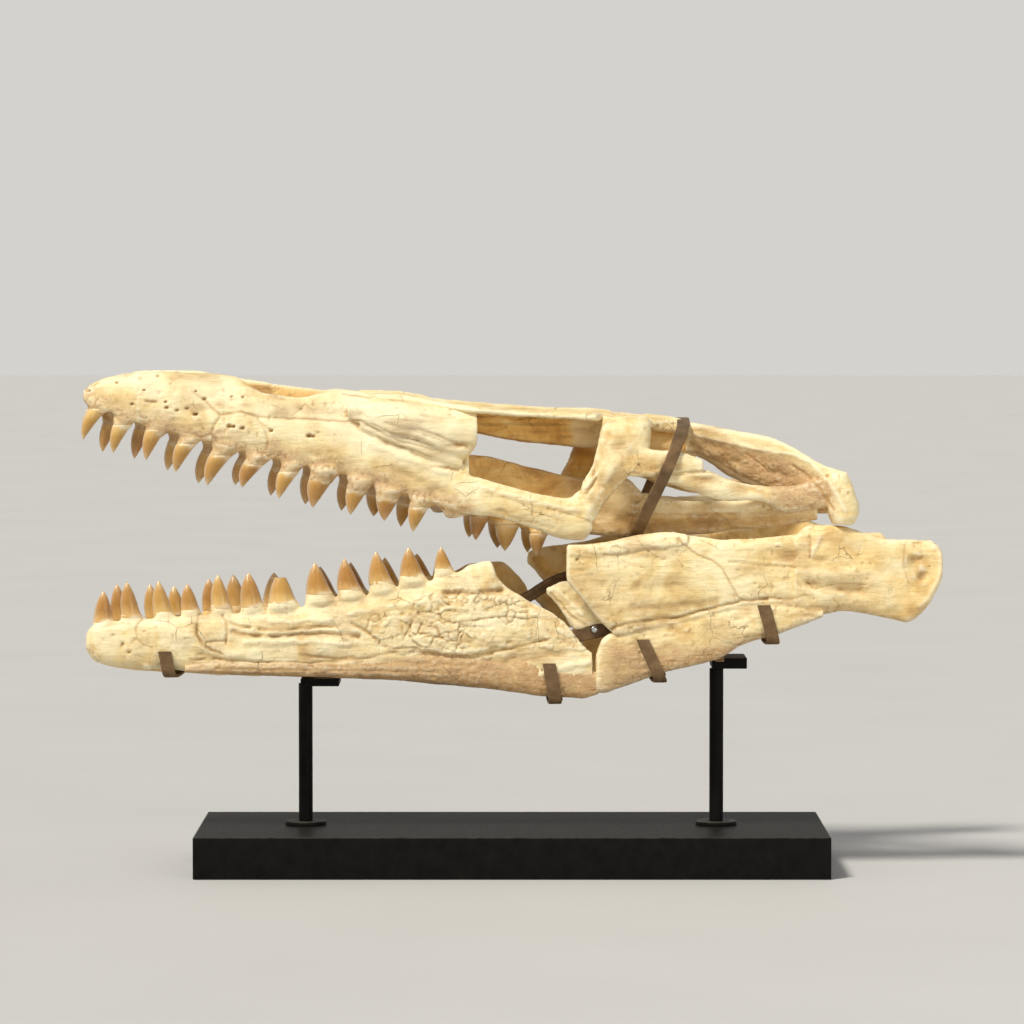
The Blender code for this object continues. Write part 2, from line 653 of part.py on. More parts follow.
def make_snout():
    """The premaxilla, with its bar between the nostrils, and the two halves behind it."""
    premaxilla = bone("premaxilla", midline_rings(SNOUT, SNOUT_NARROWING))
    behind = block((PREMAXILLA_END, -SNOUT_SIDE, SNOUT_LOW), (0, SNOUT_SIDE, SNOUT_HIGH))
    combine(premaxilla, behind, "DIFFERENCE")
    bpy.data.objects.remove(behind)
    bar = hidden("bar", tube_mesh("bar", place(
        midline_rings(NASAL_BAR, BAR_NARROWING, 8))))
    combine(premaxilla, bar, "UNION")
    bpy.data.objects.remove(bar)
    made = [premaxilla]
    for label, side in (("l", -1.0), ("r", 1.0)):
        maxilla = bone(f"maxilla_{label}", midline_rings(SNOUT, SNOUT_NARROWING))
        low, high = sorted((side * SEAM / 2.0, side * SNOUT_SIDE))
        keep = block((PREMAXILLA_END + SEAM, low, SNOUT_LOW), (0, high, SNOUT_HIGH))
        combine(maxilla, keep, "INTERSECT")
        bpy.data.objects.remove(keep)
        made.append(maxilla)
    return made


def make_cranium(held):
    """Every bone above the jaws, parted at its sutures."""
    sides = (("l", -1.0), ("r", 1.0))
    order = [bone("frontal", roof_rings(FRONTAL))]
    for label, side in sides:
        order.append(bone(f"prefrontal_{label}", long_rings(PREFRONTAL, side)))
    order.append(bone("parietal", roof_rings(PARIETAL)))
    for label, side in sides:
        order.append(bone(f"jugal_{label}", long_rings(JUGAL, side)))
        order.append(bone(f"quadrate_{label}", tall_rings(QUADRATE, side)))
        order.append(bone(f"squamosal_{label}", long_rings(SQUAMOSAL, side)))
        order.append(bone(f"supratemporal_{label}", long_rings(SUPRATEMPORAL, side)))
        upright = bone(f"postorbitofrontal_{label}", tall_rings(POSTORBITAL_BAR, side))
        process = bone("process", long_rings(TEMPORAL_PROCESS, side))
        combine(upright, process, "UNION")
        bpy.data.objects.remove(process)
        order.append(upright)
        order.append(bone(f"pterygoid_{label}", long_rings(PTERYGOID, side)))
    order.append(bone("braincase", midline_rings(BRAINCASE, BRAINCASE_NARROWING, 10)))
    order.extend(make_snout())
    separate(order, held)
    named = {piece.name: piece for piece in order}
    row = table_reach(SNOUT, UPPER_TOOTH_INSET)
    palate = table_reach(PTERYGOID, PALATE_TOOTH_INSET)
    for label, side in sides:
        upper = shifted(UPPER_TEETH, side, RIGHT_UPPER_SHIFT)
        add_teeth(named["premaxilla"], upper[:PREMAXILLARY_TEETH], side, row)
        add_teeth(named[f"maxilla_{label}"], upper[PREMAXILLARY_TEETH:], side, row)
        add_teeth(named[f"pterygoid_{label}"], PTERYGOID_TEETH, side, palate)
    for piece in order:
        tidy_mesh(piece)
    return order


def make_jaw(held):
    """The two halves of the lower jaw, each of seven bones."""
    made = []
    for label, side in (("l", -1.0), ("r", 1.0)):
        order = [
            bone(f"articular_{label}", lowered(long_rings(ARTICULAR, side), side)),
            bone(f"coronoid_{label}", lowered(
                long_rings(rows_of(CORONOID, side, RIGHT_CORONOID), side), side)),
            bone(f"splenial_{label}", lowered(long_rings(SPLENIAL, side), side)),
            bone(f"angular_{label}", lowered(long_rings(ANGULAR, side), side)),
            bone(f"surangular_{label}", lowered(
                long_rings(rows_of(SURANGULAR, side, RIGHT_SURANGULAR), side), side)),
            bone(f"prearticular_{label}", lowered(long_rings(PREARTICULAR, side), side)),
            bone(f"dentary_{label}", lowered(
                long_rings(rows_of(DENTARY, side, RIGHT_DENTARY), side), side)),
        ]
        separate(order, held)
        add_teeth(
            order[-1], shifted(LOWER_TEETH, side, RIGHT_LOWER_SHIFT), side,
            table_reach(DENTARY, LOWER_TOOTH_INSET), True)
        tidy_mesh(order[-1])
        made.extend(order)
    return made


def main():
    clear_scene()
    make_stand()
    armature = make_plates() + make_spine() + make_strap() + make_clips()
    separate(armature)
    make_cranium(armature)
    make_jaw(armature)


main()
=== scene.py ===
"""Mosasaur skull with its jaws open, on a display stand: the model that is shown.

The skull has its own frame, in millimetres: x runs back from between the eyes, y runs to
the animal's right, and z is the height above the floor. A bone is a loft of closed
sections. The lofts and tooth roots of a bone are fused into one skin, which is worked
over with relief. Crowns, straps and the stand are surfaces of their own.
"""
import math

import bpy
import numpy as np
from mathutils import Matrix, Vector


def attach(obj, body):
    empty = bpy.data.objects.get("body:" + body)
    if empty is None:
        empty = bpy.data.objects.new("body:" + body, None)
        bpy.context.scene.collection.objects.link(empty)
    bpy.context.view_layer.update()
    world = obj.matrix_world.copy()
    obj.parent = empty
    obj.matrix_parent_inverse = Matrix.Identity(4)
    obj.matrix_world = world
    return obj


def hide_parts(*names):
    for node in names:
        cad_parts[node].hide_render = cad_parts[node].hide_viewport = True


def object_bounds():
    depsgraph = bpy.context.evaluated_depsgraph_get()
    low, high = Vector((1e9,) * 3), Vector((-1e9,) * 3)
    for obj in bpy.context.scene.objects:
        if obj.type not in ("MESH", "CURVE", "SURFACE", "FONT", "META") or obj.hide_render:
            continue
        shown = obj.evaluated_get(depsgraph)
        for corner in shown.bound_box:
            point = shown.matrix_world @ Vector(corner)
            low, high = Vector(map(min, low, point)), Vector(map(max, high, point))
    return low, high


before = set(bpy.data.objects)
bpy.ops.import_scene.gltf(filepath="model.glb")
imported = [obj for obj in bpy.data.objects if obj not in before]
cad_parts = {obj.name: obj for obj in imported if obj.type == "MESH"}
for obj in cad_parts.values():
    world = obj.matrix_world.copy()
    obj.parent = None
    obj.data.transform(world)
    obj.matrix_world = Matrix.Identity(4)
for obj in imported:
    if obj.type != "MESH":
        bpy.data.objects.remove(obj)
solid_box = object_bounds()

MM = 0.001
HEAD_YAW = math.radians(8.0)     # the snout is turned towards -Y
LEFT_SKIN = 1.25                 # size of a face of a bone's skin, on the left half
FACE_SKIN = 1.36                 # on the left face, the largest piece
ROOF_SKIN = 1.4                  # on the roof
RIGHT_SKIN = 1.7                 # on the right half
SEAM = 0.3                       # the gap between two pieces that touch
# The sides: two names, which way the side is from the middle, and what is added to its seeds
SIDES = (("left", "l", -1.0, 0), ("right", "r", 1.0, 40))

RIGHT_JAW_FALL = [               # x, and how far the right half of the jaw hangs below the left
    (-425, 4), (-150, 7), (-30, 9), (60, 9), (150, 5), (220, 2), (300, 2), (415, 5),
]

# Midline bones: x, top, bottom, half width
SNOUT = [
    (-427, 477, 469, 6), (-420, 484, 461, 14), (-405, 491, 451, 21), (-370, 497, 437, 28),
    (-310, 495, 421, 34), (-240, 486, 403, 41), (-165, 478, 386, 50), (-100, 472, 364, 60),
    (-70, 468, 354, 64), (-50, 464, 358, 65),
]
NASAL_BAR = [
    (-400, 492.5, 470, 8), (-360, 498.5, 478, 8), (-310, 496.5, 474, 7), (-280, 491.5, 462, 6),
    (-262, 488.5, 458, 5.5), (-240, 484.5, 456, 5.5), (-213, 480.5, 454, 6), (-190, 478, 456, 7),
    (-178, 476.5, 462, 7.5),
]
BRAINCASE = [
    (100, 447, 418, 16), (130, 443, 410, 24), (160, 441, 406, 28), (180, 438, 409, 24),
    (190, 432, 412, 14), (200, 427, 415, 9),
]
# Roof plates: x, top, half width, drop to the rim, thickness of the rim, depth of the keel
FRONTAL = [
    (-204, 471, 4, 0.5, 2, 3), (-185, 473, 12, 1, 4, 7), (-160, 475.6, 22, 2, 6, 12),
    (-120, 475, 36, 2, 7, 16), (-75, 468, 60, 2, 7, 24), (-40, 464, 76, 2, 7, 29),
    (10, 460, 82, 2, 7, 34), (72, 457.5, 81, 2, 8, 37), (82, 457, 62, 2, 8, 36),
    (108, 454, 56, 3, 9, 28),
]
PARIETAL = [
    (108.5, 454, 56, 3, 9, 20), (124, 453, 44, 4, 9, 18), (155, 451, 31, 5, 12, 18),
    (198, 440, 42, 4, 9, 12),
]
# Paired bones: x, top, bottom, outer face, thickness, and the outward lean of the top if it has one
PREFRONTAL = [
    (-170, 466, 451, 49, 10, 0), (-140, 468, 438, 58, 22, -4), (-110, 467, 431, 66, 32, -5),
    (-80, 464, 416, 71, 36, -4), (-58, 462, 408, 73, 34, -2), (-44, 459, 424, 73, 26, 0),
]
PREFRONTAL_FOOT = [              # a slope from the prefrontal down on to the maxilla
    (-158, 452, 441, 49, 9, -3), (-130, 448, 428, 56.5, 14, -4), (-105, 443, 418, 61.8, 17, -5),
    (-80, 437, 406, 65.3, 18, -4), (-58, 431, 400, 67, 16, -3),
]
JUGAL = [
    (-100, 379, 371, 57, 5), (-80, 387, 364, 62.5, 9), (-60, 396, 358, 67.5, 13),
    (-45, 394, 356, 71, 15), (-34, 391, 355, 73.5, 17), (0, 381, 346, 79, 17),
    (45, 373, 331, 83, 17), (60, 380, 330, 84, 16), (68, 376, 340, 85, 12),
]
TEMPORAL_PROCESS = [
    (100, 436, 394, 91, 17), (126, 420, 393, 94, 15), (154, 418, 391, 95, 14),
    (177, 410, 391, 95, 11),
]
SQUAMOSAL = [
    (138, 399, 389, 95, 9), (178, 400, 375, 97, 14), (206, 390, 369, 98, 15),
    (230, 385, 370, 99, 15), (262, 384, 358, 103, 16), (298, 394, 362, 110, 16),
]
SUPRATEMPORAL = [
    (172, 446, 416, 36, 16, 6), (200, 441, 407, 48, 18, 9), (225, 436, 391, 62, 18, 12),
    (250, 431, 380, 77, 18, 13), (273, 420, 368, 90, 18, 13), (290, 409, 358, 99, 18, 11),
    (308, 401, 356, 106, 16, 8), (320, 398, 378, 110, 12, 4),
]
PTERYGOID = [
    (-95, 402, 376, 30, 14), (-45, 413, 356, 34, 18), (30, 398, 337, 40, 18),
    (80, 388, 334, 46, 16), (108, 391, 332, 50, 14), (126, 375, 333, 54, 14),
    (180, 368, 335, 66, 15), (221, 370, 341, 78, 15), (241, 377, 342, 85, 14),
    (292, 364, 350, 99, 10),
]
DENTARY = [
    (-425, 241, 225, 16, 10), (-417, 249, 213, 23, 18), (-395, 254, 207, 28, 24),
    (-330, 259, 202, 35, 26), (-240, 265, 197, 46, 26), (-180, 274, 196, 52, 24),
    (-102, 290, 193, 60, 22), (-70, 300, 188, 63, 21), (-30, 310, 185, 67, 17),
    (-22, 293, 185, 68, 16), (0, 276, 183, 69, 15), (43, 250, 176, 72, 14), (57, 230, 175, 73, 13),
    (70, 219, 176, 74, 12),
]
SPLENIAL = [
    (-330, 208, 201, 36, 18), (-290, 213, 199, 40, 22), (-180, 213, 194.5, 52, 24),
    (-110, 221, 191.5, 59.5, 22), (-30, 217, 183.5, 67, 18), (60, 208, 173, 73.5, 14),
    (77, 198, 178, 75, 10),
]
CORONOID = [
    (45, 326.5, 312, 79, 9), (80, 328.5, 314, 84, 14), (116, 335.5, 318, 88, 18),
    (146, 338.5, 322, 91, 19), (162, 336, 326, 92.5, 16),
]
SURANGULAR = [
    (44, 324, 290, 78, 7), (58, 325, 274, 80, 10), (78, 326, 250, 83, 13), (95, 328, 237, 85, 15),
    (118, 333, 239, 88, 17), (157, 335, 244, 92, 18), (196, 331, 254, 97, 18),
    (230, 333, 260, 102, 18), (264, 336, 258, 108, 18), (276, 338, 266, 110, 16),
]
ANGULAR = [
    (74, 217, 180, 76, 12), (80, 232, 179, 78, 14), (97, 242, 184, 81, 16),
    (127, 250, 195, 86, 17), (157, 253, 204, 91, 18), (192, 262, 212, 96, 18),
    (217, 268, 226, 100, 18), (245, 270, 235, 105, 17), (270, 266, 245, 110, 15),
    (294, 262, 255, 116, 10),
]
ARTICULAR = [
    (266, 334, 263, 111, 18), (282, 345, 257, 116, 26), (300, 346, 258, 120, 30),
    (315, 345, 261, 120, 30), (336, 338, 258, 119, 24), (356, 332, 254, 119, 20),
    (378, 331, 249, 120, 18), (400, 331, 266, 121, 16), (409, 324, 284, 121, 12),
    (413, 312, 296, 120, 7),
]
PREARTICULAR = [
    (28, 282, 276, 50, 4), (36, 286, 268, 52, 5), (44, 289, 257, 54, 6), (56, 290, 241, 57, 7),
    (80, 280, 247, 62, 7), (130, 266, 240, 68.5, 8), (200, 272, 246, 78, 8),
    (262, 285, 264, 88, 8),
]
# Rows of the right half of the jaw that take the place of the left one's
RIGHT_ROWS = {
    "dentary": [
        (-30, 310, 185, 67, 17), (-3, 312, 183, 69, 15), (12, 301, 181, 70, 14),
        (25, 284, 180, 71, 14), (30, 262, 179, 71.5, 14),
    ],
    "coronoid": [(27, 321, 313, 77, 7)],
    "surangular": [(26, 316, 309, 76, 5), (34, 320, 301, 77, 6)],
}
# Upright bones: z, front, rear, outer face, inner face
QUADRATE = [
    (346.5, 305, 325, 118, 94), (353, 302, 329, 120, 92), (360, 300, 331, 119, 92),
    (375, 299, 328, 118, 92), (391, 299, 323, 115, 92), (398, 303, 317, 112, 94),
]
POSTORBITAL_BAR = [
    (352, 58, 72, 86, 75), (366, 58, 79, 87, 73), (380, 58, 91, 88, 72), (406, 70, 116, 90, 70),
    (424, 75, 126, 90, 66), (444, 79, 128, 86, 58), (453.5, 82, 126, 78, 50),
]
# Teeth: front and rear of the root, height of the gum line, x and z of the tip
UPPER_TEETH = [
    (-421, -404, 461, -428, 430), (-398, -381, 446, -399, 417), (-366, -347, 442, -367, 410),
    (-335, -315, 430, -338, 398), (-301, -277, 421, -307, 385), (-268, -245, 412, -273, 383),
    (-234, -213, 404, -237, 372), (-205, -179, 398, -204, 363), (-168, -145, 388, -167, 356),
    (-141, -117, 378, -134, 350), (-108, -87, 370, -106, 339),
]
PREMAXILLARY_TEETH = 2           # the first teeth of the upper row stand in the premaxilla
LOWER_TEETH = [
    (-418, -401, 249, -409, 281), (-391, -373, 254, -386, 290), (-359, -341, 255, -355, 291),
    (-332, -315, 258, -327, 288), (-303, -285, 262, -297, 297), (-274, -253, 263, -267, 299),
    (-247, -221, 267, -236, 301), (-210, -184, 273, -202, 309), (-179, -155, 277, -173, 313),
    (-148, -124, 283, -142, 320), (-118, -94, 291, -110, 324), (-84, -66, 299, -78, 324),
]
PTERYGOID_TEETH = [
    (-45, -26, 355, -40, 329), (-20, 2, 345, -11, 318), (14, 31, 337, 20, 313),
]
# How far each tooth of the right rows stands from its left fellow, along the head, and how much
# nearer the bone its tip is.
RIGHT_UPPER_SHIFT = [
    (0, 0), (-9, 0), (-9, 0), (-5, 0), (-5, 0), (-2, 0), (-2, 0), (0, 0), (0, 0), (0, 0), (0, 0),
]
RIGHT_LOWER_SHIFT = [
    (0, 0), (-8, 0), (-6, 1), (-10, 0), (-5, 2), (-10, 0), (0, 0), (13, 2), (15, 2), (19, 4),
    (20, 4), (12, 4),
]
VAULT_HEIGHT = 9.0               # of the palate above the gum
GUM_WIDTH = 15.0                 # from the outer face of the snout in to the palate
PREMAXILLA_END = -377.0          # where the premaxilla meets the maxillae
MAXILLA_END = -50.0              # the rear end of the row of teeth
BROKEN_TOOTH = 6                 # of the left lower row
BROKEN_AT = 0.78                 # the share of its height that is left
TOOTH_FLATNESS = 0.82            # side-to-side size of a tooth over its length along the jaw
UPPER_ARCH = 8.5                 # how far the gum is drawn back midway between two teeth
LOWER_ARCH = 3.5
ROOT_START = -0.5                # where a root begins, as a share of the tooth's height
ROOT_ABOVE = 0.06                # how far it goes on above the line of the enamel
CROWN_BELOW = 0.14               # how far below that line a crown starts, inside the root
CONE = (1.5, 0.82)               # the powers of a tooth's taper
LEAF = (2.3, 0.85)               # stout until near the tip, as the front lower teeth are
BUD = (1.9, 0.95)                # swollen below the middle, as the palate's teeth are
# A row: its places and right-hand shifts, the rows of its bone, how far a tooth's middle is from
# the bone's outer face, each tooth's taper, and the share of its height where its enamel begins
UPPER_ROW = (UPPER_TEETH, RIGHT_UPPER_SHIFT, SNOUT, 8.0, [CONE] * 11,
             [0.1, 0.12, 0.14, 0.22, 0.26, 0.3, 0.27, 0.3, 0.32, 0.3, 0.3])
LOWER_ROW = (LOWER_TEETH, RIGHT_LOWER_SHIFT, DENTARY, 12.0,
             [LEAF] * 6 + [(1.6, 0.8)] + [CONE] * 5,
             [0.1, 0.08, 0.1, 0.1, 0.12, 0.12, 0.12, 0.2, 0.2, 0.18, 0.18, 0.2])
PALATE_ROW = (PTERYGOID_TEETH, [(0, 0)] * 3, PTERYGOID, 9.0, [CONE, BUD, BUD], [0.12, 0.12, 0.15])

# Straps, clips and the bars between the halves of the jaw
STRAP_WIDTH = 13.0
STRAP_THICKNESS = 3.0
STRAP_SKEW = math.tan(HEAD_YAW)  # straps and clips stand square to the base
STRAP_CENTRE = -35.0             # the side distance at which the strap has its stated x
STRAP_CORNER = 5.0               # how far from a bend in a clip its rounding begins
SPINE_HEIGHT = 11.0
SPINE_THICKNESS = 6.0
CRADLE_WIDTH = 14.0
CRADLE_THICKNESS = 7.0
TIE_WIDTH = 14.0
REAR_POST_WIDTH = 9.0
BAR_EASE = 0.35                  # how far the ends of a bar are drawn in
BOLT_RADIUS = 4.2
BOLT_RIM = 1.6                   # height of the bolt head's straight side, and then of its dome
BOLT_DOME = 2.4
# Clips: x, height of the outer end, bottom, outer face, inner face, rake, x on the spine,
# rise of the bottom towards the inner leg, and how far back that leg is
CLIPS = [
    (-348, 222, 197, 33, 7, -0.17, -322, 5, 14), (30, 209, 171, 72, 56, -0.18, -6, 0, 0),
    (127, 233, 192, 87, 59, -0.45, 127, 0, 0), (241, 267, 230, 105, 75, -0.28, 241, 0, 0),
]
SPINE = [
    (-345, 216), (-205, 222), (-60, 240), (13, 267.5), (35, 282.5), (56, 291.5), (120, 300),
    (216, 297),
]
FRONT_POST = ((-211, -5, 192.3), (-199, 5, 217))
CRADLE_POST = ((144, -5, 302), (156, 5, 325.7))
CRADLE = [(150, -70, 329.5), (150, 0, 329.5), (150, 70, 329.5)]
STRAP_TOP = [(168, -34, 444.8), (168, 0, 449.4), (168, 34, 444.8)]
STRAP_SIDE = [                   # down from the roof, round the cheek and in to the spine
    (168, 35, 444.5), (166, 60, 439.5), (161, 88, 429.5), (154, 98.5, 412), (145, 99, 392),
    (123, 72, 345), (115, 58, 325), (109, 4, 303),
]
TIE = [(38, -53, 231), (75, -53, 238.5), (112, -53, 246)]
BOLT_PLACE = (75.0, 241.0)
REAR_POST = [(27, 291), (29, 212.5), (-15.8, 212.5), (-15.8, 206.5)]
REAR_POST_PLACE = 207.5

# The stand
BASE_LENGTH = 626.0
BASE_DEPTH = 230.0
BASE_HEIGHT = 41.5
ROD_RADIUS = 7.0
ROD_PLACES = (-207.0, 205.0)
ROD_TOPS = (184.0, 199.0)
PLATES = [                       # name and two corners
    ("front", (-210.0, -45.0, 184.3), (-172.0, 14.0, 192.0)),
    ("rear", (200.0, -14.0, 199.3), (235.0, 45.0, 210.0)),
]
DISC_RADIUS = 20.5
DISC_HEIGHT = 4.0

# Marks on the outer face of a bone: half width, height, tint and the path (x, z). A path of one
# point is a spot. A height below 0 is a dip; a tint above 0 is brown and one below 0 is pale. The
# brown of most dips is partly a stain and partly painted shade, and the pale of most ridges is
# partly a painted highlight.
SNOUT_MARKS = [
    (0.9, -0.9, 0.6, [(-172, 475), (-160, 474), (-145, 471)]),
    (3.5, -0.8, 0.3, [(-341, 491.5), (-317, 490.5), (-293, 486.5)]),
    (1.2, -1.2, 0.7, [(-309, 469), (-303, 462), (-295, 454.6), (-274, 457.5), (-257, 452.5),
        (-215, 451), (-186, 449), (-160, 448)]),
    (1.2, -1.1, 0.5, [(-258, 451), (-256, 447), (-246, 440)]),
    (1.2, -1.0, 0.5, [(-258, 450), (-252, 441), (-248, 429), (-249, 421)]),
    (1.1, -0.9, 0.45, [(-295, 453), (-301, 444), (-303, 436), (-298, 427), (-284, 424)]),
    (1.0, -0.8, 0.4, [(-325, 436), (-313, 433), (-303, 436)]),
    (1.0, -0.7, 0.4, [(-311, 470), (-322, 478)]),
    ((19, 11), 1.7, -0.35, [(-278, 438)]),
    ((26, 9), 1.2, -0.3, [(-222, 441)]),
    ((30, 12), 1.0, -0.3, [(-340, 474)]),
    ((5, 4), -0.6, 0.55, [(-295, 465)]),
    ((5, 3), -0.5, 0.4, [(-270, 464)]),
    ((15, 4.5), -0.6, 0.5, [(-236, 457)]),
    (5.0, -1.4, 0.3, [(-215, 461), (-190, 457), (-160, 454)]),
    (1.4, -1.4, 0.75, [(-368, 469), (-363, 467.6), (-357, 467.6)]),
    (1.7, -1.2, 0.45, [(-134, 446), (-117, 441), (-100, 440), (-82, 433.6), (-68, 427.5),
        (-54, 422)]),
    # A hollow under the prefrontal's overhang, painted deep brown as the overhang's shadow.
    ((11, 3.0), -2.2, 0.85, [(-63, 425)]),
    (1.1, -0.9, 0.5, [(-159, 448.5), (-133, 435), (-120, 428.6), (-97, 423.6), (-81, 415.5)]),
    (0.8, -0.7, 0.45, [(-148, 446), (-128, 437), (-110, 431), (-88, 424)]),
    (0.8, -0.7, 0.45, [(-142, 434), (-122, 424.5), (-104, 419), (-90, 413)]),
    (0.8, -0.6, 0.35, [(-112, 441), (-94, 434), (-76, 428)]),
    (4.0, 1.8, -0.35, [(-148, 426), (-133, 420), (-110, 411), (-74, 398)]),
    (3.0, 1.4, -0.3, [(-128, 439), (-100, 432), (-82, 424)]),
    (1.6, -1.3, 0.4, [(-90, 404), (-72, 402.5), (-62, 400)]),
    (5.0, -1.6, 0.35, [(-126, 402), (-100, 390), (-75, 378)]),
    ((14, 8), 1.6, -0.3, [(-66, 441)]),
    (1.2, -1.0, 0.4, [(-100, 455), (-82, 451), (-66, 452)]),
    ((9, 6), 1.2, -0.2, [(-70, 366)]),
]
HOLE_SHARE = 0.85                # radius of an opening over that of its rim
HOLE_STRETCH = 1.5               # how much longer than high it is
SNOUT_HOLES = [                  # openings for nerves and vessels: x, z and radius of the rim
    (-381, 465.5, 1.5), (-369, 479.3, 1.2), (-348, 467.4, 1.3), (-347, 461.9, 1.6),
    (-395, 486.9, 1.2), (-355, 493.2, 1.1), (-422, 478.4, 1.1), (-337, 459.2, 1.5),
    (-327, 461.3, 1.4), (-319, 455.6, 2.0), (-310, 470.6, 1.7), (-286, 443.7, 2.0),
    (-282, 443.2, 1.7), (-273, 441.7, 1.8), (-245, 439.2, 1.6), (-208, 434.2, 2.1),
    (-204, 433.4, 1.5), (-272, 472, 1.2), (-283, 472.5, 1.1), (-318, 478, 1.0),
]
CHEEK_MARKS = [
    ((3.2, 5), -3.0, 0.9, [(68, 398)]),
    (1.4, -2.0, 0.8, [(72, 393), (67, 385), (62, 377)]),
    ((4, 4), -1.0, 0.6, [(68, 372)]),
    ((12, 8), -0.8, 0.6, [(97, 424)]),
    ((8, 7), -0.6, 0.35, [(77, 418)]),
    (5.0, 1.6, -0.3, [(104, 424), (88, 402), (76, 381), (66, 362)]),
    (4.0, -1.2, 0.2, [(84, 436), (78, 418), (70, 400)]),
    (0.9, -0.8, 0.45, [(-20, 374), (-4, 369.5), (12, 364)]),
    (0.9, -0.8, 0.5, [(24, 362.5), (38, 359), (45, 357.5), (62, 351.5), (69, 347)]),
    (0.8, -0.6, 0.4, [(2, 362), (20, 356), (40, 350)]),
    (3.5, -1.0, 0.25, [(-23, 359.5), (6, 348.5), (36, 341)]),
    (3.0, 1.2, -0.3, [(-40, 384), (-4, 374), (30, 365), (56, 362)]),
    ((11, 5), -1.4, 0.55, [(124, 404)]),
    ((7, 4), -1.0, 0.6, [(150, 404)]),
    ((14, 4.5), -1.6, 0.7, [(177, 391)]),
    ((16, 5), -3.0, 0.6, [(219, 383)]),
    (1.3, -1.6, 0.5, [(138, 396), (160, 397), (178, 399), (196, 398)]),
    (8.0, -2.2, 0.22, [(172, 424), (192, 421), (215, 409), (240, 399), (263, 391)]),
    (1.6, -1.6, 0.7, [(268, 404), (283, 392), (294, 378), (303, 362)]),
    ((7, 4), -1.0, 0.6, [(176, 424)]),
    (2.2, 1.2, -0.5, [(163, 434), (179, 433), (204, 427), (237, 419.5), (267, 415), (284, 407),
        (296, 393), (307, 376), (315, 360)]),
    ((3, 3), -2.5, 0.8, [(253, 386)]),
    (1.1, -1.2, 0.5, [(226, 414), (238, 405), (246, 396)]),
]
ROOF_MARKS = [                   # on the top of the roof: paths are (x, y)
    (1.3, -0.9, 0.4, [(108, -48), (104, -20), (110, 0), (104, 20), (108, 48)]),
    (5.0, 2.0, -0.2, [(-150, 0), (-60, 0), (40, 0), (95, 0)]),
    *[(16.0, -1.6, 0.15, [(-90, 28 * way), (-20, 40 * way), (60, 40 * way)]) for way in (-1, 1)],
    ((5.5, 4.2), -7.0, 0.95, [(128, 0)]),
    ((9, 7), 1.0, 0.0, [(128, 0)]),
    *[(2.0, 1.2, -0.2, [(138, 22 * way), (158, 13 * way), (180, 24 * way), (196, 36 * way)])
      for way in (-1, 1)],
]
PTERYGOID_MARKS = [
    (1.6, -1.0, 0.4, [(108, 354), (129, 354.8), (155, 354.8), (201, 355.3), (240, 357),
        (263, 359)]),
    (8.0, -2.2, 0.6, [(125, 345), (160, 345), (200, 347), (250, 351)]),
    (9.0, -2.5, 0.55, [(85, 362), (104, 350), (118, 342)]),
    (1.2, -1.0, 0.3, [(-70, 392), (-30, 384), (20, 372), (60, 364)]),
    (6.0, -1.6, 0.5, [(-60, 378), (-20, 368), (40, 356)]),
]
